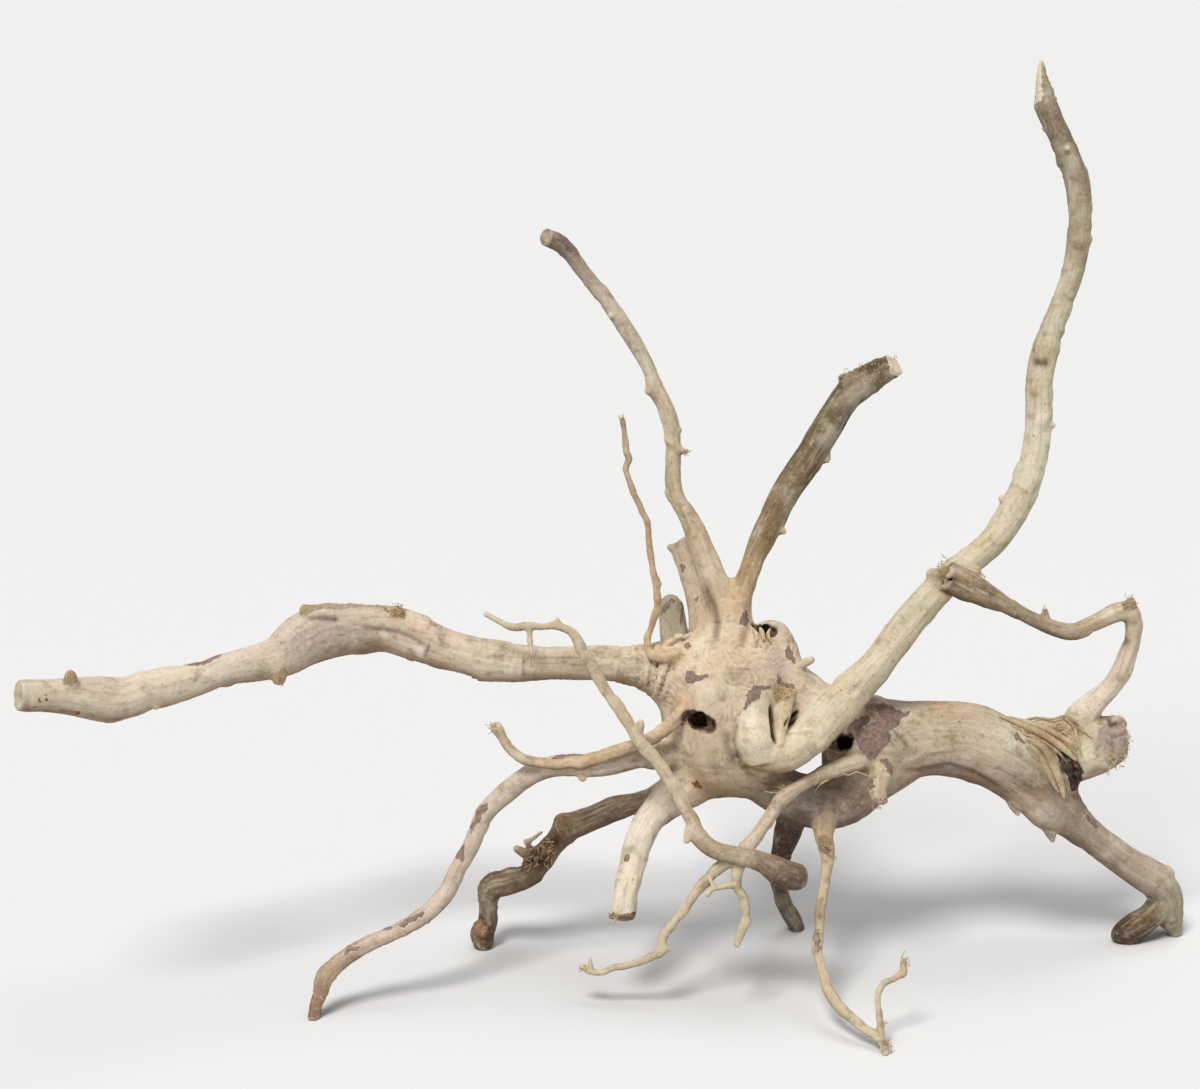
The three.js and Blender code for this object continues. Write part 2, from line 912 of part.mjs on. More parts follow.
function driftwood() {
  const nubs = NUBS.map(({ name, from, to }) => ({
    name,
    sides: NUB_SIDES,
    ends: ["sunk", "round"],
    points: [from, to],
  }));
  const grown = [...ROUTES, ...nubs].map(tube);
  const hollows = HOLLOWS.map(({ name, points }) =>
    tube({ name, sides: HOLLOW_SIDES, ends: ["sunk", "round"], points }),
  );
  const whole = grown.reduce((wood, branch) => wood.add(branch));
  const carved = [...hollows, underTheFloor()].reduce((wood, hollow) => wood.subtract(hollow), whole);
  const { numProp, vertProperties, triVerts } = carved.getMesh();
  if (numProp !== 3) throw new Error("the joined wood carries more than positions");
  const geometry = new THREE.BufferGeometry();
  geometry.setAttribute("position", new THREE.BufferAttribute(vertProperties, 3));
  geometry.setIndex(new THREE.BufferAttribute(triVerts, 1));
  const mesh = new THREE.Mesh(geometry, WOOD);
  mesh.name = "driftwood";
  return mesh;
}

const group = new THREE.Group();
group.add(driftwood());
export default group;
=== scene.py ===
# A piece of bleached driftwood on a pale studio floor: one grown body of wood, and its torn fibres.
# It is drawn in millimetres on the sheet that the part's source uses, and it is meshed in metres.
import math

import bpy
import numpy as np
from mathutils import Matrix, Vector


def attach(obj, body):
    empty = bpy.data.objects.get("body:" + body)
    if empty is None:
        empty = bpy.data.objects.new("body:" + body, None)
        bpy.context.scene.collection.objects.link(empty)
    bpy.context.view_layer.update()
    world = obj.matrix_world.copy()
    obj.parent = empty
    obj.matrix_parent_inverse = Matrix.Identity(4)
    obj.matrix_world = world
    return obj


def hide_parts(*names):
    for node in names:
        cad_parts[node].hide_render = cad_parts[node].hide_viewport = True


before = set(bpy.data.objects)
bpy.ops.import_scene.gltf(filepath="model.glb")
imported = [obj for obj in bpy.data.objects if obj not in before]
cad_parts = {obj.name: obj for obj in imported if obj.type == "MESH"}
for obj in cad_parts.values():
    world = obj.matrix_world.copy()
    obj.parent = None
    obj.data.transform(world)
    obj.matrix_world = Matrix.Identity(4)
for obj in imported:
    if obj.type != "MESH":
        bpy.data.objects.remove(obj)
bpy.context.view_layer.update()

MM = 0.001
BODY = "root"
NODE = "driftwood"

# The sheet stands at the stump and leans back as the piece is looked down on. A point on it is
# (across, down, forward, radius) in millimetres: across and down from the sheet's upper left corner,
# forward towards the viewer, and the half thickness drawn there. The sheet's middle is at SHEET_ACROSS and
# SHEET_DOWN. The eye is EYE in front of it, and what is nearer to the eye is drawn larger.
SHEET_ACROSS = 600.0
SHEET_DOWN = 544.5
LEAN = math.radians(18)
EYE = 2600.0
PICTURE_WIDTH = 1200.0

# Where the floor is under the sheet's middle, and where the middle of the piece's box is beside it
FLOOR = -408.9
BOX_MIDDLE_X = 26.0
BOX_MIDDLE_Y = -63.0
SHEET_MIDDLE = np.array([-BOX_MIDDLE_X, -BOX_MIDDLE_Y, -FLOOR])
SHEET_FACING = np.array([0, -math.cos(LEAN), math.sin(LEAN)])

# The wood is meshed in five regions, on grids of cubes of this size in millimetres. Each mesh is closed.
# Where two regions meet, each dips by SEAM_DEPTH over the width of SEAM to end under the other.
CUBE = 1.6
SEAM = 8.0
SEAM_DEPTH = 0.8
GRID_MARGIN = 6.0
BIG = 1.0e3

# How each end of a branch is made, in shares of its radius: how ragged a torn end is, how far a sunk end
# runs past its last point, and how far a round end's last ball is drawn back. OUTWARD is the direction
# along the branch that leads out of its start (0) and its end (-1).
TORN_DEPTH, SUNK_DEPTH, ROUND_DEPTH = 0.28, 0.3, 0.4
OUTWARD = {0: -1, -1: 1}

# How far a thin branch wanders and swells, in shares of its radius, the radius from which it doesn't, and
# the smallest radius of all, in millimetres
WANDER, SWELL = 0.26, 0.13
STIFF_RADIUS = 9.0
THINNEST = 0.4

# The wood's own relief: in shares of the radius, and in millimetres
BULGES, FLUTES, RIBS = 0.085, 0.05, 0.035
RIPPLE, FINE_GRAIN, HOLLOW_ROUGHNESS = 0.10, 0.20, 2.2

# The grain's noise runs this much slower along a branch than across it
GRAIN_STRETCH = 0.07

# A branch's share of a place fades over SHARE_FADE millimetres from its surface, and is looked for within
# SHARE_REACH. Below LEAST_SHARE it has no say.
SHARE_FADE, SHARE_REACH, LEAST_SHARE = 2.5, 9.0, 0.02

# How wide the fillets are where branches, nubs and hollows meet the wood, in millimetres. A branch's is a
# share of its radius, within limits.
BRANCH_FILLET, FILLET_LIMITS = 0.45, (2.0, 12.0)
NUB_FILLET, HOLLOW_FILLET = 3.0, 2.5

# The mesh is relaxed in rounds, each by this share of the way to the mean of a place's neighbours
RELAX_ROUNDS, RELAX_SHARE = 3, 0.6

# Large odd numbers that mix the bits of whole-number places, for the noise
HASH_FACTORS = 374761393, 668265263, 2246822519, 3266489917

# The kinds of mark with an edge, and how far from that edge its distance is kept, in millimetres
MARK_KINDS = ("bark", "crumb", "rust", "dark", "pale")
EDGE_REACH = 8.0

# How high bark and crumbs stand, and how deep dark marks go, in millimetres. A dark mark is a pit, painted
# with deep shade.
BARK_HEIGHT, CRUMB_HEIGHT, DARK_DEPTH = 0.45, 0.75, 1.2

# Bark and crumbs also lie scattered on the hidden sides: the noise that they start from, how fast they
# deepen with it, and what keeps them off the side that the viewer sees
BARK_FROM, CRUMB_FROM, DEEPENING, KEPT_OFF = 0.86, 0.92, 16, 12

# The borders of the regions: left and right of the stump, above the loop, and above the roots
LEFT_EDGE, RIGHT_EDGE, UPPER_EDGE, ROOT_EDGE = -60.0, 220.0, 470.0, 225.0
REGIONS = [
    ("wood_left_arm_and_legs", (-BIG, -BIG, -BIG), (LEFT_EDGE, BIG, UPPER_EDGE)),
    ("wood_stump", (LEFT_EDGE, -BIG, ROOT_EDGE), (RIGHT_EDGE, BIG, UPPER_EDGE)),
    ("wood_roots", (LEFT_EDGE, -BIG, -BIG), (RIGHT_EDGE, BIG, ROOT_EDGE)),
    ("wood_trunk_and_loop", (RIGHT_EDGE, -BIG, -BIG), (BIG, BIG, UPPER_EDGE)),
    ("wood_upper_limbs", (-BIG, -BIG, UPPER_EDGE), (BIG, BIG, BIG)),
]

# Branches: name, how its start and its end are made, and the drawn points
ROUTES = [
    ("stump", "sunk", "round", [
        (731, 608, 24, 18), (730, 640, 28, 26), (727, 664, 32, 44), (727, 692, 34, 59),
        (727, 720, 34, 60), (727, 746, 32, 50), (730, 768, 28, 30),
    ]),
    ("shoulder", "sunk", "sunk", [
        (742, 676, 28, 36), (775, 686, 30, 34), (808, 704, 32, 29), (838, 722, 32, 30),
    ]),
    ("left arm", "sawn", "sunk", [
        (18, 694, 195, 15.5), (62, 696, 173, 18), (100, 699.5, 155, 22.5), (122, 699, 145, 21.8),
        (146, 690, 134, 20.3), (170, 685.5, 123, 18.8), (200, 678.5, 110, 15.8),
        (228, 668.5, 99, 15.6), (257, 663, 88, 18.6), (284, 654.5, 79, 22), (304, 640.5, 72, 25.8),
        (326, 632, 66, 27.2), (355, 629, 60, 25), (385, 628.5, 56, 23.2), (410, 636, 52, 23),
        (441, 648, 48, 19.8), (470, 656.5, 45, 19.8), (494, 661.5, 42, 21.2), (537, 662.5, 40, 17),
        (575, 662.5, 38, 17.5), (615, 663.5, 36, 18.5), (642, 666, 35, 21.5), (666, 670, 34, 29),
        (690, 677, 34, 40), (712, 684, 34, 46),
    ]),
    ("upper left limb", "sunk", "sawn", [
        (729, 618, 24, 15), (714, 582, 20, 13.8), (703, 552, 15, 12.2), (688, 516, 10, 9.4),
        (678, 500, 8, 8.4), (672.5, 480, 5, 8.4), (673, 460, 3, 7.8), (673, 440, 2, 8),
        (670.5, 425, 1, 8.2), (664, 404, 0, 8), (656, 389, -1, 8.2), (651, 376, -2, 7.2),
        (645, 362, -3, 7), (634.5, 343, -4, 8), (622.5, 323, -5, 8), (609, 304, -5, 7.6),
        (594, 286, -5, 7.5), (580, 266, -4, 7.5), (570, 253, -1, 7.8), (560, 243.5, 6, 8.8),
        (545.5, 236.5, 20, 9.2),
    ]),
    ("upper right limb", "sunk", "sawn", [
        (732, 618, 24, 14), (744, 586, 20, 11.5), (752, 562, 16, 11), (762, 540, 12, 13.2),
        (772, 520, 9, 13.4), (785, 493, 5, 14.2), (801, 470, 0, 14.8), (813.5, 450, -4, 14.6),
        (826.5, 429, -8, 15), (838, 409.5, -11, 15), (849.5, 393.5, -13, 15.6),
        (864, 382.5, -12, 15), (881, 372, -10, 13.2), (898, 363.5, -7, 10.6),
    ]),
    ("web between the two limbs", "sunk", "round", [
        (731, 616, 24, 14), (731.5, 596, 21, 11), (732, 583, 18, 6),
    ]),
    ("fold below the left arm", "sunk", "sunk", [
        (652, 680, 34, 12), (676, 700, 34, 17), (686, 726, 34, 19), (694, 752, 32, 20),
    ]),
    ("cut stub behind the neck", "sawn", "sunk", [
        (684.5, 540, -30, 16.5), (696, 572, -24, 16.8), (706, 602, -12, 19), (714, 640, 8, 26),
    ]),
    ("broken stub at the left of the neck", "round", "sunk", [
        (671, 603, -45, 12.5), (672.5, 618, -42, 14), (676, 640, -30, 16), (690, 668, -8, 22),
    ]),
    ("hollow collar", "round", "sunk", [
        (768, 633, 22, 17.5), (770, 641, 20, 20.5), (773, 655, 18, 25), (772, 676, 20, 28),
    ]),
    ("root of the tall limb, going down", "sunk", "sunk", [
        (752, 696, 60, 16), (752, 716, 74, 20), (754, 736, 80, 22.5), (759, 754, 78, 19),
    ]),
    ("tall limb", "sunk", "round", [
        (750, 744, 74, 15), (765, 751, 76, 19.5), (783, 752, 72, 20), (803, 740, 66, 19),
        (822, 722, 64, 20), (842, 702, 62, 20), (862, 680, 60, 17.2), (880, 660, 58, 16.5),
        (910, 621, 55, 16.4), (934, 593.5, 52, 16.4), (957, 571.5, 49, 15.2), (981, 552.5, 46, 13),
        (993.5, 541, 44, 13.2), (1006, 523, 40, 14.2), (1016, 506, 36, 14.5), (1026, 486, 32, 14.4),
        (1032.5, 464, 28, 13.6), (1037, 440, 24, 13.2), (1039, 415, 20, 12.9),
        (1039.5, 385, 16, 12.7), (1045, 353, 12, 13.2), (1050, 336, 9, 12.4),
        (1063.5, 300, 4, 10.8), (1070.5, 280, 0, 10.5), (1076, 260, -2, 11.4),
        (1079, 240, -4, 11.8), (1079.7, 218, -6, 11.2), (1079.5, 198, -8, 12.2),
        (1077.5, 183, -9, 12.4), (1071, 165, -10, 11.9), (1064, 145, -12, 11.2),
        (1054.5, 125, -14, 11), (1046, 105, -15, 11.2), (1044, 88, -16, 7.8),
        (1042.3, 72, -17, 4.6), (1041.3, 61, -18, 2),
    ]),
    ("torn wedge", "torn", "round", [
        (783, 692, 58, 12.5), (782, 712, 72, 9.5), (780, 732, 84, 6), (779.5, 745, 90, 4.2),
    ]),
    ("right trunk, upper lobe", "sunk", "round", [
        (840, 708, 26, 22), (854, 728, 18, 32), (873, 741, 12, 44.5), (900, 739, 8, 38.6),
        (930, 736, 5, 34.8), (960, 736, 2, 34), (988, 744.5, -1, 33), (1010, 755, -5, 32),
        (1032, 769, -9, 31), (1050, 787, -14, 26), (1062, 802, -20, 18),
    ]),
    ("right trunk, lower lobe", "sunk", "round", [
        (858, 768, 14, 24), (885, 767, 15, 24.5), (915, 759, 12, 19.5), (940, 755.5, 9, 20),
        (965, 759, 6, 20), (990, 770, 2, 18.5), (1012, 783.5, -4, 18.5), (1034, 799, -10, 20),
        (1054, 813, -16, 22),
    ]),
    ("right leg and heel", "sunk", "sawn", [
        (1048, 800, -14, 26), (1073, 822, -25, 18.6), (1098, 841, -38, 15.4),
        (1127, 862.5, -52, 15.8), (1151, 877.5, -62, 17.5), (1165, 892, -70, 15.5),
        (1167.5, 911, -77, 14.5), (1172.5, 924, -81, 9.5), (1175, 936, -83, 5),
    ]),
    ("toe", "sunk", "round", [
        (1161, 904, -70, 12.5), (1149, 917.5, -69, 12.6), (1137, 925.5, -68, 13.6),
        (1126, 932, -67, 12.6), (1119, 935, -66, 9),
    ]),
    ("knee", "sunk", "torn", [
        (1036, 762, -12, 26), (1064, 754, -10, 31), (1092, 747, -5, 29.5), (1112, 739.5, -2, 22.5),
        (1126, 737, 1, 16.5),
    ]),
    ("torn plate over the knee", "sunk", "sunk", [
        (994, 736, 4, 20), (1020, 739, 5, 17), (1046, 737, 6, 17.5), (1068, 738, 6, 20),
    ]),
    ("loop branch", "torn", "round", [
        (946, 576, 70, 15), (964, 584, 69, 15), (984, 594.5, 64, 12), (1001, 603, 57, 9),
        (1020, 613.5, 50, 7.2), (1036, 621, 45, 7.6), (1052, 627, 40, 8), (1068, 631, 36, 8.7),
        (1080, 630, 33, 9), (1092, 624.5, 30, 8), (1106, 617.5, 27, 8.6), (1120, 612, 24, 9.5),
        (1132, 611, 22, 8.5),
    ]),
    ("loop branch, coming down", "round", "sunk", [
        (1131, 612, 22, 8), (1134, 625, 20, 8.6), (1132, 640, 17, 7.8), (1127, 656, 13, 9.6),
        (1121, 672, 9, 10), (1110, 688, 5, 10.5), (1096, 701, 2, 12.3), (1082, 717, -2, 16),
        (1074, 738, -6, 18),
    ]),
    ("belly root", "sunk", "sunk", [
        (748, 762, 30, 29), (774, 786, 22, 24.5), (805, 800, 15, 26.5), (835, 801, 12, 28),
        (860, 787, 12, 25.5), (884, 769, 13, 23),
    ]),
    ("root behind the hollow", "sunk", "sunk", [
        (856, 712, -2, 22), (845, 745, -14, 22), (842, 778, -6, 20), (840, 795, 6, 18),
    ]),
    ("flaky stub pointing down", "sunk", "torn", [
        (884, 746, 34, 13), (881.5, 767, 46, 11.4), (877.5, 786, 53, 9.6), (879.5, 804, 57, 7.6),
    ]),
    ("root with twigs", "sunk", "round", [
        (876, 754, 36, 9), (860, 762, 46, 9.3), (838, 767.5, 54, 9), (815, 776.5, 61, 7.4),
        (800, 785.5, 66, 6.8), (785, 797, 71, 7.2), (775, 809, 76, 7.2), (765, 823, 82, 7),
        (755, 838, 88, 6.8), (744, 851, 92, 8.5),
    ]),
    ("long front root", "round", "round", [
        (800, 879, 105, 13.8), (783, 874, 104, 14.4), (762, 862, 101, 10), (738, 856, 98, 9),
        (712, 848.5, 97, 8.4), (699, 837, 96, 8.4), (692, 820, 96, 7.4), (681, 798, 95, 6.8),
        (666, 776, 94, 6.8), (651, 756, 93, 6.8), (638.5, 739, 92, 6.8), (625.5, 718.5, 91, 6.2),
        (614, 703, 90, 5.8), (603, 688, 89, 5.5), (594.5, 671, 88, 5.2), (585, 655, 87, 5.2),
        (578.5, 642, 86, 4.9), (569, 631.5, 86, 4.4), (556, 625, 85, 4.2), (542, 627, 84, 3.8),
        (527, 626, 83, 4), (513, 626.5, 82, 3.7), (500, 621.5, 80, 3.2), (485, 613.5, 78, 2.8),
    ]),
    ("second front root", "sunk", "round", [
        (700, 694, 66, 8), (687, 704, 72, 7.8), (675, 718, 75, 7), (660, 731.5, 75, 7),
        (640, 742.5, 74, 6.5), (620, 750, 73, 6.2), (600, 757, 72, 6), (580, 762.5, 72, 6),
        (560, 764, 74, 5.5), (540, 762.5, 76, 5.2), (524, 758.5, 78, 5), (512, 750.5, 80, 5),
        (504, 739.5, 82, 5), (495, 726, 85, 6.2),
    ]),
    ("left front leg", "sunk", "sawn", [
        (692, 748, 36, 20), (666, 755, 46, 15), (640, 757, 52, 11.5), (600, 765.5, 58, 11.2),
        (562, 765, 60, 10.7), (541, 769.5, 60, 10.2), (522, 779.5, 60, 10), (506, 793, 60, 10.4),
        (488.5, 809, 61, 9.6), (478.5, 828, 62, 8.6), (467.5, 852, 63, 8.4), (456, 872, 65, 8.4),
        (448, 890, 67, 8.4), (436, 904.5, 70, 8.8), (419, 919, 73, 8.4), (402.5, 928.5, 75, 8.1),
        (387, 936, 77, 7.6), (372, 942, 79, 8.2), (356, 951, 81, 8.2), (339.5, 963, 83, 8.4),
        (326, 976, 85, 9.6), (320, 992, 86, 7.4), (316, 1008, 86, 6.3), (313, 1021, 87, 6),
    ]),
    ("dark rotten leg", "sunk", "sawn", [
        (688, 778, 14, 20), (662, 793, 4, 11.5), (640, 801.5, -4, 9.4), (615, 808.5, -12, 12.2),
        (598, 815.5, -16, 12.2), (580, 822.5, -20, 12.6), (567, 829, -24, 13),
        (553, 845, -29, 11.5), (540, 860, -32, 13.5), (529, 875, -36, 12), (510, 882, -42, 12.6),
        (491, 888, -46, 12.6), (488, 907, -50, 9.2), (487.5, 923, -53, 9.4), (482.5, 934, -55, 12),
        (485, 950, -56, 7),
    ]),
    ("sawn leg", "sunk", "sawn", [
        (712, 756, 30, 32), (690, 780, 28, 25.5), (669, 800, 28, 18.5), (651, 818, 34, 15),
        (640, 838, 42, 14.6), (632, 865, 55, 13.2), (627, 890, 66, 12.2), (623.5, 918, 78, 11.4),
    ]),
    ("dark back leg", "sunk", "sawn", [
        (792, 802, 8, 19), (789, 828, -6, 14), (781, 855, -30, 9.8), (779, 884, -55, 8.2),
        (785, 905, -75, 8.2), (794, 921, -91, 8.2), (799, 935, -99, 7.6),
    ]),
    ("long twig to the front", "sunk", "round", [
        (824, 806, 22, 17), (824, 836, 34, 9.5), (828, 858, 44, 7), (826, 879, 53, 5.5),
        (822, 902, 63, 5), (819, 930, 78, 5), (817, 947, 88, 5.4), (820, 964, 97, 5),
        (826.5, 986.5, 109, 5.2), (839, 1006, 121, 5.5), (851, 1018.5, 131, 5.6),
        (865, 1028.5, 139, 5.3), (878, 1036, 146, 5.2), (884, 1048, 151, 4.6), (886, 1057, 154, 4),
    ]),
    ("upright fork of the long twig", "sunk", "torn", [
        (881, 1034, 146, 4), (880, 1020, 144, 3.7), (878, 1005, 142, 3.1), (878.5, 993, 140, 3.4),
        (885, 982.5, 138, 3.6), (895, 978, 136, 3.6), (902, 972, 134, 4), (904, 960, 132, 3.2),
    ]),
    ("curled twig", "sunk", "round", [
        (738, 855, 93, 7), (720, 868, 92, 6.2), (706, 881, 90, 5.6), (696, 891, 89, 4.8),
        (688, 903, 87, 5), (678, 917, 86, 4.5), (667, 931, 84, 5), (661, 941, 84, 5.2),
        (662, 950, 84, 5.2), (650, 956.5, 82, 4.2), (640, 961.5, 80, 3.5), (618, 967.5, 76, 3.3),
        (598, 972.5, 72, 3.4), (580, 967, 69, 2.8),
    ]),
    ("hanging twig", "sunk", "round", [
        (741, 857, 93, 7), (737, 881, 94, 5.6), (743, 895, 95, 4.7), (746, 912, 97, 4.5),
        (742, 925, 98, 5), (738, 936, 99, 4), (737, 946, 100, 3.3),
    ]),
    ("side fork of the hanging twig", "sunk", "round", [
        (738, 884, 94, 4), (724, 886, 95, 3.3), (713, 888.5, 96, 3.2), (707, 896, 97, 2.8),
    ]),
    ("thin upright twig", "torn", "sunk", [
        (622, 419, 54, 3), (624, 432, 54, 3.1), (626, 451, 54, 3.1), (629, 459, 54, 3.2),
        (626.5, 469, 54, 3.1), (631, 484, 54, 3), (640, 507, 54, 3.2), (648, 526, 54, 3.1),
        (650, 545, 54, 3.1), (652.5, 566, 54, 3.3), (656, 590, 54, 3.7), (656.5, 608, 54, 3.7),
        (653, 624, 54, 3.5), (647, 639, 55, 3.4), (649.5, 652, 57, 4), (656, 656.5, 61, 5.4),
        (672, 656.5, 61, 8), (690, 658, 55, 10),
    ]),
]

# Nubs, burls and twiglets, each from a point in the wood to a second one
NUBS = [
    ("swelling above the rotten bend", (570, 825, -22, 12.5), (560, 824, -20, 11.5)),
    ("small twig on the right shoulder", (796, 668, 46, 5), (812.5, 659, 50, 3.8)),
    ("burl near the left arm's end", (71, 684, 180, 8), (70, 674, 186, 5)),
    ("burl on the left arm's ridge", (397, 622, 64, 8.5), (396.5, 610, 70, 6.5)),
    ("knot under the left arm", (277, 664, 88, 13), (279, 681, 94, 5.5)),
    ("lip of the ridge", (315, 614, 74, 9), (302, 608, 78, 3.5)),
    ("bark step under the left arm", (156, 700, 138, 6), (156, 708, 142, 3)),
    ("nub on the upper left limb, low", (672, 497, 8, 5), (666, 491, 9, 2.4)),
    ("frayed spike", (674, 450, 4, 5), (688, 452, 6, 2)),
    ("nub on the upper left limb, middle", (674, 429, 2, 4.5), (680.5, 430, 3, 2.5)),
    ("bump on the upper left limb", (652, 391, 0, 5.5), (646, 391, 1, 2.6)),
    ("nub on the upper left limb, high", (615, 315, -3, 4.5), (610.5, 316, 2, 3)),
    ("nub on the upper right limb", (777, 530, 12, 5), (785, 532, 16, 2.6)),
    ("nub on the cut stub", (675, 549, -28, 5), (668, 547, -26, 2.5)),
    ("nub on the tall limb, low", (1006, 502, 40, 5), (1000, 497, 42, 2.5)),
    ("nub on the tall limb, middle", (1046, 426, 24, 5), (1054.5, 425, 26, 2.2)),
    ("ring on the tall limb", (1084, 241, -2, 7), (1090.5, 239, 0, 3)),
    ("knot on the tall limb", (1067, 150, -6, 5), (1067.5, 148, 4, 3.4)),
    ("web at the fork", (962, 570, 56, 10), (976, 574, 56, 8)),
    ("bump at the fork", (936, 583, 56, 10), (932, 572, 58, 6)),
    ("bump on the heel", (1158, 878, -64, 12), (1168, 873, -66, 8)),
    ("frayed nub on the loop branch", (1045, 620, 43, 5), (1045, 610, 45, 3)),
    ("frayed upper edge of the elbow", (1126, 610, 24, 7), (1132, 600, 26, 4)),
    ("knob on the long front root", (638, 733, 93, 4.6), (641, 722, 95, 4)),
    ("spike on the long front root", (558, 625, 85, 3.2), (557, 618, 86, 1.8)),
    ("knot on the long front root", (690, 830, 98, 6), (686, 842, 101, 3)),
    ("nub on the left front leg", (582, 773, 62, 6), (583, 780, 66, 3)),
    ("nub at the rotten bend", (532, 856, -32, 6.5), (515, 848, -30, 3.4)),
    ("nub on the sawn leg", (618, 910, 74, 5), (610.5, 917, 77, 3.4)),
    ("nub under the trunk, left", (1014, 802, -2, 7), (1018.5, 815, 2, 2.2)),
    ("nub under the trunk, right", (1050, 828, -14, 8), (1052.5, 842, -12, 2)),
    ("prong of the curled twig", (591, 971, 71, 3), (590, 958, 72, 1.8)),
    ("prong of the side fork", (715, 888, 96, 3), (710, 879, 97, 1.8)),
    ("twiglet at the rotten bend, lower part", (534, 853, -31, 3.2), (526, 841, -29, 2.6)),
    ("twiglet at the rotten bend, upper part", (526, 843, -29, 2.7), (542, 832, -26, 1.8)),
    ("nub on the hanging twig", (744, 921, 97, 4), (751, 922, 98, 2.4)),
    ("knot of the curled twig", (661, 947, 84, 4.8), (669, 949, 86, 3.4)),
    ("spike on the upper right limb", (826, 456, -6, 5), (826, 461, 0, 3)),
    ("lip of the upper right limb", (855, 384, -12, 12), (841, 378, -10, 4)),
    ("splinter at the sawn end", (896, 361, -8, 5), (905, 354, -8, 1.6)),
    ("nub on the thin twig", (656, 585, 54, 3), (661, 583.5, 55, 1.8)),
    ("twiglet on the long front root, upper part", (529, 628, 83, 3.4), (530, 643, 85, 2.2)),
    ("twiglet on the long front root, lower part", (530, 640, 84.5, 2.4), (532, 656, 87, 2)),
]

# Hollows cut into the wood: name, and the drawn points
HOLLOWS = [
    ("hole in the stump", [(687, 717, 80, 5), (694, 719, 83, 7.2), (702, 722, 86, 8.6),
        (709, 725, 88, 7)]),
    ("depth of the hole in the stump", [(701, 721, 84, 8.6), (698, 721, 72, 8), (700, 721, 60, 7)]),
    ("inside of the collar", [(751, 632, 32, 5.5), (758, 632, 33, 7.8), (766, 632, 33, 8.2),
        (773, 632, 31, 6)]),
    ("depth of the collar", [(762, 633, 30, 8), (763, 634, 20, 7.5), (764, 637, 10, 6)]),
    ("hollow beside the knee", [(1062, 752, 17, 6), (1067, 759, 15, 8), (1074, 768, 11, 9.5),
        (1073, 778, 3, 9), (1069, 786, -6, 7)]),
    ("depth of the hollow beside the knee", [(1070, 766, 24, 9.5), (1070, 768, 10, 9.5),
        (1068, 770, -4, 8)]),
    ("hollow beside the tall limb's root", [(830, 747, 50, 7), (838, 744, 48, 9), (848, 741, 44, 9.5),
        (858, 739, 40, 7)]),
    ("depth of that hollow", [(845, 742, 60, 9), (845, 742, 36, 9), (845, 743, 14, 8)]),
    ("hole in the torn end at the fork", [(951, 580, 98, 3), (953, 580, 66, 3)]),
]

# Flat faces cut across branches: name, a spot on the face, a second one that it faces, and its reach
CUTS = [
    ("broken face of the knee", (1112, 739, 9), (1132, 739, 32), 34),
    ("oblique cut at the top of the tall limb", (1037.5, 84, -8), (1026, 80, 16), 34),
    ("cut rim of the upper right limb", (896, 364.5, -8), (906, 357, -2), 15),
    ("sawn end of the left arm", (17.5, 694, 195), (0, 694.5, 201), 20),
]


def srgb(red, green, blue):
    """A colour given as a screen shows it, 0 to 255, in the linear numbers that a shader takes."""
    return tuple(
        c / 255 / 12.92 if c <= 10.31 else ((c / 255 + 0.055) / 1.055) ** 2.4 for c in (red, green, blue)
    )
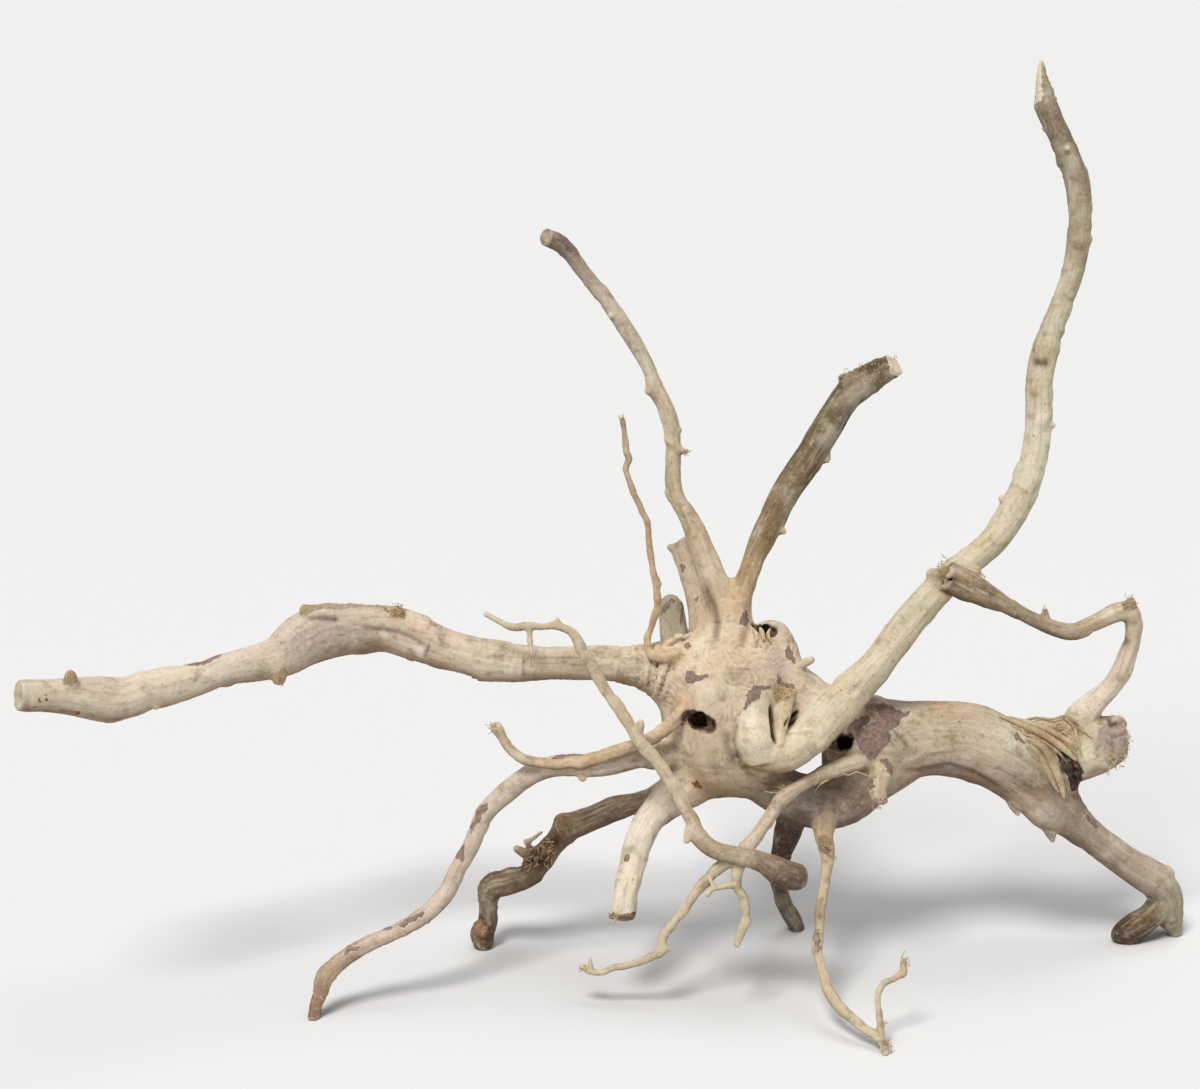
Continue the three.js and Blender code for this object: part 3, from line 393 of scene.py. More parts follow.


# The colour of each branch, from its first drawn point (0) to its last (1): the wood's own tone, with
# painted shade where a branch or a stretch of it lies in shade, as on the dark back leg, the dark rotten
# leg, the trunk's far end and the upper right limb
TINTS = {
    "stump": [(0, (218, 198, 170)), (1, (214, 194, 166))],
    "shoulder": [(0, (214, 196, 174))],
    "left arm": [(0, (200, 186, 162)), (0.22, (226, 212, 190)), (0.42, (206, 190, 174)),
        (0.55, (214, 196, 174)), (0.75, (214, 196, 172)), (1, (224, 204, 176))],
    "upper left limb": [(0, (212, 190, 160)), (0.25, (192, 174, 146)), (0.6, (206, 192, 172)),
        (0.85, (168, 152, 136)), (1, (142, 124, 108))],
    "upper right limb": [(0, (206, 184, 148)), (0.3, (138, 116, 84)), (0.75, (98, 84, 60)),
        (1, (126, 110, 84))],
    "web between the two limbs": [(0, (206, 180, 148))],
    "fold below the left arm": [(0, (206, 188, 162))],
    "cut stub behind the neck": [(0, (196, 180, 156)), (1, (206, 186, 158))],
    "broken stub at the left of the neck": [(0, (190, 180, 156))],
    "hollow collar": [(0, (214, 194, 170))],
    "root of the tall limb, going down": [(0, (222, 206, 176))],
    "tall limb": [(0, (222, 208, 180)), (0.25, (214, 202, 174)), (0.5, (224, 214, 190)),
        (0.72, (184, 170, 142)), (0.9, (134, 120, 100)), (1, (150, 138, 116))],
    "torn wedge": [(0, (214, 190, 154))],
    "right trunk, upper lobe": [(0, (180, 158, 144)), (0.3, (194, 174, 150)), (0.45, (190, 168, 140)),
        (0.65, (216, 200, 182)), (0.8, (132, 114, 94)), (1, (132, 116, 98))],
    "right trunk, lower lobe": [(0, (172, 150, 130)), (1, (186, 164, 142))],
    "right leg and heel": [(0, (164, 148, 130)), (0.6, (182, 168, 150)), (1, (146, 136, 122))],
    "toe": [(0, (124, 104, 84)), (0.5, (100, 78, 56)), (1, (78, 62, 48))],
    "knee": [(0, (216, 204, 182)), (1, (196, 180, 156))],
    "torn plate over the knee": [(0, (208, 184, 146))],
    "loop branch": [(0, (150, 128, 100)), (0.15, (168, 146, 116)), (0.4, (150, 130, 106)),
        (1, (200, 180, 152))],
    "loop branch, coming down": [(0, (196, 176, 148)), (0.6, (232, 218, 198)), (1, (226, 212, 194))],
    "belly root": [(0, (172, 156, 138))],
    "root behind the hollow": [(0, (134, 110, 94))],
    "flaky stub pointing down": [(0, (210, 192, 166)), (1, (206, 182, 148))],
    "root with twigs": [(0, (212, 192, 170))],
    "long front root": [(0, (104, 86, 70)), (0.08, (140, 120, 100)), (0.3, (192, 172, 142)),
        (0.6, (206, 188, 158)), (1, (190, 170, 142))],
    "second front root": [(0, (216, 192, 160)), (1, (200, 174, 140))],
    "left front leg": [(0, (212, 196, 176)), (0.3, (216, 200, 184)), (0.5, (202, 184, 166)),
        (0.75, (210, 190, 172)), (1, (152, 118, 88))],
    "dark rotten leg": [(0, (140, 120, 98)), (0.5, (98, 76, 56)), (1, (104, 82, 64))],
    "sawn leg": [(0, (216, 190, 156)), (0.4, (240, 228, 210))],
    "dark back leg": [(0, (86, 64, 52)), (0.5, (84, 68, 56)), (1, (112, 98, 86))],
    "long twig to the front": [(0, (186, 162, 132)), (0.3, (200, 178, 148)), (1, (206, 188, 158))],
    "thin upright twig": [(0, (150, 122, 92)), (0.5, (186, 156, 122)), (1, (206, 176, 138))],
}
PLAIN_TINT = [(0, (204, 186, 158))]
# The rotten leg's dark tint, its own tone partly darkened as painted shade, also given to the nubs on it
ROTTEN_AND_SHADED_TINT = [(0, (146, 118, 90))]
for name, *_ in NUBS:
    if "rotten bend" in name:
        TINTS[name] = ROTTEN_AND_SHADED_TINT

# How much of its grain a branch shows, where that is less or more than is usual
USUAL_GRAIN = 0.75
GRAIN_SHOWN = {
    "stump": 0.3, "shoulder": 0.35, "root of the tall limb, going down": 0.3, "hollow collar": 0.3,
    "belly root": 0.5, "torn wedge": 1.0, "dark rotten leg": 1.0, "loop branch": 1.2,
    "torn plate over the knee": 1.3,
}

# Marks with an edge: kind, the branches that each lies on (none stands for all), and its drawn outline.
# A mark lies only on the side that faces the viewer.
MARKS = [
    ("bark", ("stump", "left arm"), [(686.7, 671.1), (692, 670.2), (694.9, 673.1), (699.7, 675.4),
        (707.3, 672.5), (708.9, 676.9), (702.5, 679.8), (696.8, 681.1), (693.9, 683.6), (686.3, 683.6),
        (685.3, 676.9)]),
    ("bark", ("stump", "left arm"), [(685.3, 642.8), (689.1, 642.4), (692, 647.8), (687.2, 650.1),
        (682.4, 650.1)]),
    ("bark", ("stump", "shoulder", "root of the tall limb, going down", "tall limb", "torn wedge"), [
        (753.2, 685.5), (759, 684.9), (768.5, 686.8), (767.6, 689.3), (760.9, 690.3), (759.9, 695.1),
        (758, 699.8), (751.3, 702.7), (746.5, 708.5), (741.4, 712.3), (742.7, 708.5), (746.5, 697.9),
        (748.5, 692.2)]),
    ("bark", ("stump", "shoulder", "hollow collar", "torn wedge"), [(774.3, 675), (780, 676.9),
        (783.9, 681.7), (792.5, 683.6), (795, 688.4), (789.6, 691.2), (785.8, 686.5), (778.1, 685.5),
        (773.3, 682.6)]),
    ("bark", ("shoulder", "hollow collar", "stump"), [(787.7, 644.4), (792.5, 652), (796.3, 665.4),
        (792.5, 663.5), (785.8, 656.8), (784.8, 650.1)]),
    ("bark", ("stump", "upper right limb", "upper left limb"), [(741.8, 611.8), (748.5, 609.9),
        (749.4, 619.5), (746.5, 627.1), (739.9, 624.3), (740.5, 617.6)]),
    ("bark", ("cut stub behind the neck",), [(680.2, 565), (683.4, 561.1), (686.7, 566.9), (683.4, 572)]),
    ("bark", ("cut stub behind the neck", "stump"), [(693, 599.4), (696.2, 596.1), (698.1, 597.5),
        (696.8, 602.3), (693.9, 601.9)]),
    ("bark", ("broken stub at the left of the neck",), [(660.4, 614.7), (663.3, 604.2), (672.9, 598.4),
        (674.8, 602.3), (668.1, 608), (661.4, 616.6)]),
    ("bark", ("broken stub at the left of the neck",), [(680.9, 602.3), (686.7, 597.5), (685.3, 608),
        (680.5, 627.1), (679, 619.5), (682.4, 609.9)]),
    ("rust", ("stump", "sawn leg"), [(692.4, 783), (696.8, 780.2), (702.5, 785), (701.6, 788.8),
        (694.9, 787.8)]),
    ("bark", (), [(872.1, 707.9), (884.2, 701.8), (890.3, 704.2), (900, 707.9), (903.6, 711.5),
        (911.6, 711), (908.5, 715.1), (901.2, 718.8), (900, 724.8), (892.7, 728.5), (889.1, 732.1),
        (892.7, 737), (890.3, 743), (884.2, 747.9), (880.6, 752.7), (874.5, 757.6), (869.7, 761.2),
        (866, 755.1), (860, 750.3), (856.4, 741.8), (857.6, 732.1), (863.6, 727.3), (870.9, 723.6),
        (878.2, 720), (877, 713.9)]),
    ("bark", (), [(851.5, 718.8), (868.5, 716.4), (870.9, 723.6), (857.6, 732.1), (855.1, 743),
        (846.7, 739.4), (841.8, 738.2), (846.7, 728.5)]),
    ("bark", ("right trunk, upper lobe",), [(1012, 736.2), (1016.8, 732.1), (1026, 738.2),
        (1027.7, 744.2), (1022.4, 743.5), (1013.9, 739.4)]),
    ("bark", ("right trunk, upper lobe", "right leg and heel"), [(1083, 812.8), (1089, 815.7),
        (1098.7, 826.6), (1099.2, 830.8), (1095.1, 829.1), (1087.8, 820.6)]),
    ("rust", ("sawn leg",), [(609, 912), (622, 914.5), (637, 911), (640, 926), (622, 931), (606, 926)]),
    ("bark", ("left arm",), [(184.8, 666.2), (202.4, 661.2), (212.7, 655.3), (222.4, 653.9),
        (217.1, 659.7), (205.3, 664.1), (193.6, 667.1)]),
    ("rust", ("left arm",), [(58.7, 709.6), (70.4, 710.2), (80.7, 712.5), (76.9, 715.5), (68.9, 714),
        (60.1, 713)]),
    ("rust", ("left arm",), [(38.2, 697.5), (40.8, 698), (40.5, 703), (38.4, 702)]),
    ("rust", ("left arm",), [(45.2, 694.6), (47.2, 695), (47, 700.4), (45.4, 699.4)]),
    ("crumb", ("left arm",), [(64, 676), (68, 670), (74, 669), (78, 676), (77, 684), (70, 686),
        (65, 683)]),
    ("crumb", ("left arm",), [(390, 610), (394, 604), (401, 603), (406, 609), (404, 617), (396, 619),
        (390, 616)]),
    ("crumb", ("left arm",), [(298, 612), (301, 605), (311, 603), (350, 601), (389, 603), (388, 608),
        (350, 607), (322, 610), (310, 614), (301, 616)]),
    ("crumb", ("left arm",), [(268, 680), (274, 672), (284, 668), (288, 676), (286, 686), (277, 688),
        (270, 686)]),
    ("crumb", (), [(768, 692), (771, 688), (780, 687), (791, 688), (795, 692), (793, 698), (787, 702),
        (779, 701), (773, 699)]),
    ("bark", ("left front leg",), [(476.4, 810.1), (484.1, 805), (489.2, 802.4), (487.9, 807.6),
        (481.5, 817.8), (476.4, 825.4), (471.3, 833.1), (470, 828), (475.2, 819)]),
    ("bark", ("left front leg",), [(456, 853.5), (461.1, 848.4), (465, 843.3), (463.7, 850.9),
        (466.2, 856), (461.1, 862.4), (458.6, 858.6), (456, 857.3)]),
    ("bark", ("left front leg",), [(398.6, 924.9), (405, 919.8), (415.2, 914.7), (422.9, 911.6),
        (424.1, 914.2), (415.2, 919.8), (405, 926.2), (399.9, 928)]),
    ("bark", ("left front leg",), [(380.8, 928.7), (389.7, 926.2), (394.8, 927.4), (392.2, 930),
        (382, 931.3)]),
    ("bark", ("left front leg",), [(347.6, 945.3), (356.5, 946.6), (361.6, 946.6), (356.5, 950.4),
        (350.2, 950.9), (345.1, 956.8), (343.8, 953)]),
    ("bark", ("left front leg",), [(550.4, 757.8), (563.2, 754.5), (581, 754.5), (588.7, 755.5),
        (578.5, 757.8), (565.7, 758.6), (554.2, 760.4)]),
    ("crumb", ("dark rotten leg",), [(521.1, 858.6), (531.3, 853.5), (545.3, 843.3), (558.1, 830.5),
        (563.2, 833.1), (556.8, 845.8), (550.4, 858.6), (551.7, 863.7), (540.2, 867.5), (531.3, 870.1),
        (522.3, 870.1)]),
    ("crumb", ("dark rotten leg",), [(473.9, 917.2), (481.5, 916), (489.2, 924.9), (487.9, 937.7),
        (479, 938.9), (473.9, 935.1), (471.3, 924.9)]),
    # A pit on the rotten leg, pressed in and painted with deep shade
    ("dark", ("dark rotten leg",), [(526, 858), (531, 857), (534, 861), (530, 864), (526, 862)]),
    ("bark", ("flaky stub pointing down",), [(874, 750), (882, 748), (885, 756), (891, 764), (893, 774),
        (888, 777), (885, 768), (879, 760)]),
    ("bark", ("flaky stub pointing down",), [(868, 780), (873, 779), (875, 786), (870, 790)]),
    ("bark", ("flaky stub pointing down",), [(868, 800), (888, 799), (892, 812), (868, 812)]),
    ("crumb", ("upper right limb",), [(832, 384), (838, 372), (852, 366), (872, 362), (888, 356),
        (888, 362), (870, 369), (850, 376), (838, 388)]),
    ("pale", ("upper right limb",), [(886, 356), (900, 352), (908, 358), (904, 376), (892, 376)]),
    ("bark", ("upper left limb",), [(556, 231), (566, 233), (578, 244), (580, 254), (572, 256),
        (564, 246), (556, 240)]),
    ("pale", ("tall limb",), [(1033, 62), (1041, 62), (1043, 100), (1035, 104)]),
    ("crumb", ("torn plate over the knee", "right trunk, upper lobe", "knee"), [(1000, 716), (1020, 718),
        (1044, 722), (1066, 736), (1078, 752), (1080, 764), (1064, 756), (1046, 744), (1026, 734),
        (1010, 727)]),
    ("crumb", ("knee",), [(1120, 717), (1130, 714), (1144, 728), (1144, 750), (1128, 764), (1112, 768),
        (1108, 760), (1122, 755), (1132, 746), (1132, 732)]),
    ("crumb", ("knee",), [(1094, 718), (1104, 711), (1112, 716), (1104, 720), (1098, 726)]),
    ("crumb", ("loop branch",), [(938, 562), (946, 556), (956, 559), (950, 568), (946, 580), (940, 578)]),
    ("crumb", ("loop branch", "loop branch, coming down"), [(1121, 600), (1128, 595), (1138, 597),
        (1141, 605), (1134, 610), (1125, 609)]),
    ("crumb", ("long twig to the front",), [(820, 838), (826, 836), (831, 846), (828, 856), (822, 850)]),
    ("bark", ("long twig to the front",), [(813, 925), (819, 930), (821, 948), (817, 952), (813, 940)]),
]

# Lines raised on the wood or pressed into it: height and half width, the branches, and the drawn line. A
# pressed line also gets painted shade, darker the deeper it is.
LINES = [
    (3.4, 15.0, ("root of the tall limb, going down", "stump"), [(756, 716), (753, 736), (757, 752)]),
    (-2.2, 8.0, ("stump", "fold below the left arm"), [(726, 726), (727, 748), (738, 768)]),
    (-1.6, 9.0, ("stump",), [(716, 742), (712, 762), (722, 782)]),
    (2.0, 9.0, ("stump",), [(714, 700), (700, 690), (684, 694)]),
    (-1.8, 7.0, ("stump",), [(726, 664), (736, 676), (744, 690)]),
    (1.8, 8.0, ("stump", "shoulder"), [(744, 668), (756, 674), (772, 672)]),
    (-2.0, 4.6, ("root of the tall limb, going down", "stump", "tall limb"), [(742, 708), (736, 722),
        (733, 742), (738, 760), (749, 773), (766, 779)]),
    (-5.5, 1.9, (), [(770, 702), (772, 714), (773, 726), (774, 737), (776, 745)]),
    (-4.5, 1.7, (), [(784, 728), (791, 718), (799, 710)]),
    (-1.5, 2.4, ("right trunk, upper lobe",), [(885, 730), (892, 742), (899, 754)]),
    (-1.9, 2.2, ("right trunk, upper lobe",), [(893, 727), (904, 740), (914, 754)]),
    (-1.2, 2.4, ("right trunk, upper lobe",), [(901, 722), (911, 734), (920, 746)]),
    (1.8, 7.0, ("right trunk, upper lobe",), [(908, 718), (914, 718)]),
    (-2.4, 4.0, ("right trunk, upper lobe", "right trunk, lower lobe"), [(893, 772), (920, 770),
        (950, 765), (975, 773), (1000, 788), (1018, 804)]),
    (-2.2, 4.0, ("left arm",), [(345, 622), (378, 629), (396, 631), (411, 637), (425, 645), (438, 654)]),
    (1.6, 3.6, ("left arm",), [(352, 613), (382, 620), (402, 624), (418, 631), (433, 640), (446, 650)]),
    (-2.4, 4.5, ("left arm",), [(301, 618), (322, 617), (344, 619)]),
    (-2.2, 1.4, ("left arm",), [(384, 604), (389, 613)]),
    (-1.0, 1.8, ("left arm",), [(141, 688), (148, 693), (156, 699)]),
    (1.3, 4.0, ("left arm",), [(128, 676), (138, 672), (147, 668)]),
    (-1.6, 3.0, ("upper right limb",), [(834, 400), (842, 388), (858, 378), (884, 368)]),
    (-2.4, 5.5, ("cut stub behind the neck", "stump", "left arm", "upper left limb"), [(700, 574),
        (706, 590), (713, 606), (717, 624), (715, 640), (708, 652)]),
    (-1.8, 5.0, ("stump", "hollow collar", "upper right limb", "web between the two limbs"), [(746, 596),
        (749, 612), (749, 626), (745, 640), (740, 652)]),
    (-2.6, 3.4, ("left arm", "stump", "broken stub at the left of the neck"), [(664, 646), (680, 640),
        (694, 632)]),
    (1.2, 3.4, ("upper right limb",), [(838, 382), (852, 371), (876, 363), (890, 358)]),
    (-3.4, 1.8, ("upper right limb",), [(828, 398), (834, 389), (838, 380), (846, 373)]),
    (-1.1, 1.8, ("upper right limb",), [(784, 500), (794, 486), (803, 484), (812, 478)]),
    (-1.2, 2.4, ("upper left limb",), [(662, 452), (672, 451), (684, 457)]),
    (1.6, 2.8, ("upper left limb",), [(662, 436), (669, 441), (678, 446), (686, 451)]),
    (-1.0, 2.2, ("upper left limb",), [(662, 444), (669, 448), (678, 452)]),
    (1.3, 4.0, ("upper left limb",), [(682, 506), (688, 512), (694, 508)]),
    (1.8, 5.0, ("tall limb",), [(1044, 126), (1047, 132)]),
    (-1.3, 4.0, ("tall limb",), [(1048, 140), (1058, 138)]),
    (1.4, 5.0, ("tall limb",), [(1032, 424), (1040, 420), (1050, 418)]),
    (-1.2, 4.0, ("tall limb",), [(1032, 432), (1042, 430), (1051, 432)]),
    (1.6, 5.0, ("left arm",), [(384, 628), (390, 634)]),
    (1.2, 4.0, ("left arm",), [(412, 648), (426, 652)]),
    (2.0, 6.0, ("left arm",), [(456, 652), (476, 668), (492, 676)]),
    (1.4, 2.2, ("knee",), [(1098, 718), (1095, 729), (1098, 742), (1104, 753), (1111, 760)]),
    (-2.6, 3.0, ("knee",), [(1108, 716), (1112, 726), (1118, 722)]),
    (2.0, 7.0, ("tall limb",), [(1028, 346), (1042, 344), (1058, 346)]),
    (-2.4, 5.0, ("tall limb",), [(1029, 361), (1040, 362), (1052, 364)]),
    (1.4, 7.0, ("tall limb",), [(1028, 378), (1040, 378), (1052, 380)]),
    (1.2, 3.4, ("tall limb",), [(1070, 240), (1080, 239), (1090, 241)]),
    (-1.6, 3.2, ("tall limb",), [(1072, 247), (1080, 249), (1087, 249)]),
    (-1.6, 2.6, ("dark rotten leg",), [(524, 862), (540, 852), (556, 836)]),
    (-1.6, 2.2, ("dark rotten leg",), [(528, 868), (542, 860), (556, 848)]),
    (-1.3, 2.0, ("knee",), [(1104, 730), (1114, 738), (1124, 734)]),
    (-1.3, 2.0, ("knee",), [(1106, 740), (1114, 748), (1112, 756)]),
]

# Folds that run beside a drawn line: height, spacing and reach, the branches, and the line. The folds'
# troughs get painted shade.
FOLDS = [
    (0.6, 5.0, 26, ("stump", "hollow collar", "shoulder"), [(740, 646), (752, 652), (768, 653),
        (784, 648)]),
    (0.6, 5.2, 24, ("stump",), [(712, 652), (722, 668), (734, 676), (748, 678)]),
    (0.75, 5.4, 30, ("stump", "fold below the left arm"), [(737, 708), (731, 726), (730, 744), (736, 762),
        (748, 776)]),
    (0.5, 6.0, 34, ("fold below the left arm", "left arm", "stump"), [(650, 690), (664, 706), (672, 724),
        (676, 748)]),
    (0.5, 5.0, 24, ("right trunk, upper lobe",), [(922, 722), (924, 740), (928, 758)]),
    (0.4, 6.0, 20, ("left arm",), [(600, 648), (622, 652), (644, 658)]),
    (0.5, 3.6, 15, ("right trunk, upper lobe",), [(893, 728), (902, 742), (908, 756)]),
    (0.4, 5.5, 20, ("belly root",), [(780, 800), (800, 812), (830, 816)]),
]

# Soft stains, and soft patches of painted shade where parts shade each other: colour, strength, the
# branches, and drawn circles (across, down, radius)
STAINS_AND_SHADE = [
    ((200, 152, 112), 0.4, ("left arm",), [(424, 626, 22), (400, 612, 16)]),
    ((150, 134, 130), 0.4, ("left arm",), [(332, 632, 30), (356, 634, 22), (300, 650, 18)]),
    ((160, 146, 112), 0.6, ("left arm",), [(364, 646, 14), (376, 642, 12)]),
    ((232, 226, 214), 0.8, ("left arm",), [(387, 633, 9), (420, 651, 7)]),
    ((206, 180, 134), 0.5, ("left arm",), [(397, 610, 10), (278, 680, 9), (71, 677, 8)]),
    ((214, 170, 128), 0.4, ("left arm",), [(662, 652, 22), (688, 640, 14), (640, 645, 18)]),
    ((214, 170, 130), 0.4, ("second front root",), [(682, 700, 16)]),
    ((206, 170, 126), 0.45, ("stump", "web between the two limbs", "upper right limb"), [(735, 600, 20),
        (742, 570, 16), (738, 640, 14)]),
    ((196, 176, 168), 0.5, ("stump", "shoulder", "hollow collar"), [(776, 664, 24), (756, 668, 14)]),
    ((236, 228, 208), 0.6, ("root of the tall limb, going down", "stump"), [(752, 742, 24),
        (748, 720, 16)]),
    ((160, 146, 112), 0.4, ("stump",), [(722, 690, 16), (716, 722, 14), (730, 762, 16)]),
    ((196, 148, 110), 0.35, ("stump", "sawn leg"), [(700, 784, 22)]),
    ((206, 180, 120), 0.3, ("tall limb",), [(980, 540, 24), (1028, 385, 16)]),
    ((216, 176, 148), 0.35, ("right trunk, upper lobe",), [(940, 704, 24), (966, 704, 16)]),
    ((196, 160, 128), 0.4, ("right trunk, upper lobe",), [(1038, 800, 16)]),
    ((204, 192, 152), 0.4, ("right trunk, upper lobe",), [(990, 755, 22)]),
    # Painted shade on the trunk's lower half
    ((150, 134, 128), 0.5, ("right trunk, upper lobe", "right trunk, lower lobe"), [(950, 775, 26),
        (990, 790, 22)]),
    # Painted shade on the belly root, under the trunk
    ((110, 92, 80), 0.6, ("belly root",), [(800, 812, 40), (850, 806, 30)]),
    ((134, 108, 98), 0.6, ("belly root",), [(822, 800, 12)]),
    ((164, 128, 98), 0.4, ("long front root",), [(690, 842, 14), (720, 852, 16)]),
    # Painted shade on the long front root's thick end, under the trunk
    ((92, 70, 54), 0.7, ("long front root",), [(794, 890, 14), (778, 888, 12)]),
    ((112, 84, 62), 0.5, ("sawn leg",), [(622, 922, 12)]),
    ((136, 112, 66), 0.6, ("toe",), [(1136, 920, 11), (1148, 914, 8)]),
    ((96, 70, 54), 0.6, ("toe",), [(1124, 936, 10)]),
    ((222, 214, 180), 0.7, ("knee", "loop branch, coming down"), [(1084, 748, 16), (1094, 760, 12)]),
    ((168, 144, 116), 0.6, ("knee",), [(1098, 772, 12), (1084, 782, 12)]),
    # In the hollow beside the knee: its reddish wood, darkened with painted shade
    ((124, 86, 68), 0.85, (), [(1072, 768, 17), (1070, 784, 14), (1078, 792, 9)]),
    ((176, 158, 148), 0.95, ("knee",), [(1115, 737, 25)]),
    ((232, 224, 208), 0.8, ("torn plate over the knee", "right trunk, upper lobe"), [(1030, 738, 22),
        (1008, 736, 20)]),
    ((186, 156, 112), 0.6, ("torn plate over the knee",), [(1050, 734, 14), (1068, 738, 12)]),
    ((120, 100, 84), 0.7, ("right trunk, upper lobe",), [(1014, 806, 10), (1050, 838, 10)]),
    ((176, 148, 116), 0.5, ("right leg and heel",), [(1166, 874, 9)]),
    # Painted shade between the roots under the trunk
    ((100, 78, 62), 0.7, ("root with twigs", "belly root", "root behind the hollow"), [(826, 758, 16),
        (812, 772, 18)]),
    ((176, 146, 112), 0.4, ("long twig to the front",), [(824, 852, 16)]),
    ((128, 92, 68), 0.7, ("long twig to the front",), [(827, 850, 7), (826, 880, 5), (820, 916, 5),
        (816, 950, 5)]),
    ((196, 174, 134), 0.5, ("loop branch",), [(944, 568, 12)]),
    # Painted shade in the hole at the fork
    ((110, 86, 66), 0.7, ("loop branch",), [(954, 582, 8), (948, 590, 6)]),
    ((124, 102, 92), 0.6, ("loop branch",), [(984, 588, 7), (994, 594, 7), (1006, 600, 6),
        (1018, 607, 5)]),
    # Painted shadow under the elbow of the loop branch
    ((106, 82, 66), 0.7, ("loop branch, coming down",), [(1124, 640, 8), (1118, 622, 5)]),
    ((172, 140, 100), 0.6, ("dark rotten leg",), [(548, 850, 14), (532, 864, 12)]),
    ((74, 52, 38), 0.8, ("dark rotten leg",), [(530, 862, 5), (540, 862, 4), (556, 842, 4)]),
    ((208, 174, 140), 0.8, ("dark rotten leg",), [(480, 928, 11)]),
    ((122, 98, 66), 0.7, ("upper right limb",), [(804, 468, 5), (797, 480, 4), (812, 432, 5),
        (826, 424, 4), (838, 420, 4), (852, 399, 4), (800, 506, 6)]),
    ((178, 168, 136), 0.5, ("upper right limb",), [(850, 396, 11), (838, 404, 10), (826, 424, 9)]),
    ((186, 172, 146), 0.9, ("upper left limb",), [(546, 238, 8)]),
    ((120, 104, 90), 0.5, ("tall limb",), [(1041, 112, 7)]),
    ((150, 126, 102), 0.6, ("tall limb",), [(1062, 296, 6), (1036, 361, 8), (1046, 364, 7),
        (1034, 394, 8)]),
]


# The sheet


def to_space(points):
    """Where the drawn points lie, and their radii as they really are."""
    points = np.asarray(points, float)
    shrink = (EYE - points[:, 2]) / EYE
    up = (SHEET_DOWN - points[:, 1]) * shrink
    across = (points[:, 0] - SHEET_ACROSS) * shrink
    forward = points[:, 2]
    place = np.column_stack([
        across - BOX_MIDDLE_X,
        up * math.sin(LEAN) - forward * math.cos(LEAN) - BOX_MIDDLE_Y,
        up * math.cos(LEAN) + forward * math.sin(LEAN) - FLOOR,
    ])
    return place, points[:, 3] * shrink


def to_sheet(place):
    """The inverse of to_space: across, down and forward of each place."""
    x = place[:, 0] + BOX_MIDDLE_X
    y = place[:, 1] + BOX_MIDDLE_Y
    z = place[:, 2] + FLOOR
    up = y * math.sin(LEAN) + z * math.cos(LEAN)
    forward = z * math.sin(LEAN) - y * math.cos(LEAN)
    grow = EYE / (EYE - forward)
    return np.column_stack([SHEET_ACROSS + x * grow, SHEET_DOWN - up * grow, forward])


# Curves


def smooth_curve(knots, counts):
    """A centripetal Catmull-Rom curve through the knots, in counts[i] steps from knot i to the next."""
    knots = np.vstack([2 * knots[0] - knots[1], knots, 2 * knots[-1] - knots[-2]])
    gaps = np.maximum(np.linalg.norm(np.diff(knots, axis=0), axis=1), 1e-6) ** 0.5
    pieces = []
    for i, count in enumerate(counts):
        a, b, c, d = knots[i:i + 4]
        g0, g1, g2 = gaps[i:i + 3]
        leave = ((b - a) / g0 - (c - a) / (g0 + g1) + (c - b) / g1) * g1
        arrive = ((c - b) / g1 - (d - b) / (g1 + g2) + (d - c) / g2) * g1
        t = (np.arange(count) / count)[:, None]
        cubic = 2 * b - 2 * c + leave + arrive
        bend = 3 * c - 3 * b - 2 * leave - arrive
        pieces.append(b + leave * t + bend * t ** 2 + cubic * t ** 3)
    pieces.append(knots[-2:-1])
    return np.vstack(pieces)


def way_along(points):
    """How far along a chain of points each of them lies."""
    return np.concatenate([[0], np.cumsum(np.linalg.norm(np.diff(points, axis=0), axis=1))])


class Route:
    """A branch as a chain of spheres, with a frame that turns as little as it can along the way."""

    def __init__(self, name, start, end, points, finest=2.2, coarsest=6.0, share=0.4, kinked=True):
        """The spheres lie a share of their radius apart, within finest and coarsest."""
        self.name = name
        self.ends = (start, end)
        knots, radii = to_space(points)
        lengths = np.linalg.norm(np.diff(knots, axis=0), axis=1)
        steps = np.clip(np.minimum(radii[:-1], radii[1:]) * share, finest, coarsest)
        counts = np.maximum(1, np.round(lengths / steps)).astype(int)
        self.centre = smooth_curve(knots, counts)
        flat = np.column_stack([np.arange(len(radii)) * 10.0, radii])
        self.radius = np.maximum(smooth_curve(flat, counts)[:, 1], THINNEST)
        if kinked:
            self.kink(sum(map(ord, name)))
        along = np.gradient(self.centre, axis=0)
        self.along = along / np.linalg.norm(along, axis=1)[:, None]
        self.distance = way_along(self.centre)
        across = np.array([0.0, 0.0, 1.0])
        frames = []
        for direction in self.along:
            across = across - direction * (across @ direction)
            across = across / np.linalg.norm(across)
            frames.append(across)
        self.across = np.array(frames)
        self.beside = np.cross(self.along, self.across)

    def kink(self, seed):
        """Lets a thin branch wander from side to side, swell and shrink, as a grown twig does."""
        at = way_along(self.centre)
        flat = 0 * at
        mean = self.radius.mean()
        from_ends = np.clip(np.minimum(at, at[-1] - at) / (3 * self.radius), 0, 1)
        reach = self.radius * np.clip((STIFF_RADIUS - self.radius) / 4, 0, 1) * from_ends
        for axis in range(3):
            sway = layered(at / (2.6 * mean + 3), flat + seed, flat + 5.0 * axis, 33, 2)
            self.centre[:, axis] += WANDER * reach * sway
        swell = layered(at / (1.5 * mean + 2), flat + seed, flat, 37, 2)
        self.radius = self.radius + SWELL * reach * swell


# Noise


def hashed(ix, iy, iz, seed):
    """A number from -1 to 1 for each whole-number place, the same on every run."""
    p, q, r, t = HASH_FACTORS
    h = ix.astype(np.uint32) * np.uint32(p)
    h = h + iy.astype(np.uint32) * np.uint32(q)
    h = h + iz.astype(np.uint32) * np.uint32(r) + np.uint32(seed * t % 2 ** 32)
    for shift, factor in ((15, r), (13, t)):
        h = (h ^ (h >> np.uint32(shift))) * np.uint32(factor)
    h = h ^ (h >> np.uint32(16))
    return h.astype(np.float64) / 2.0 ** 31 - 1.0


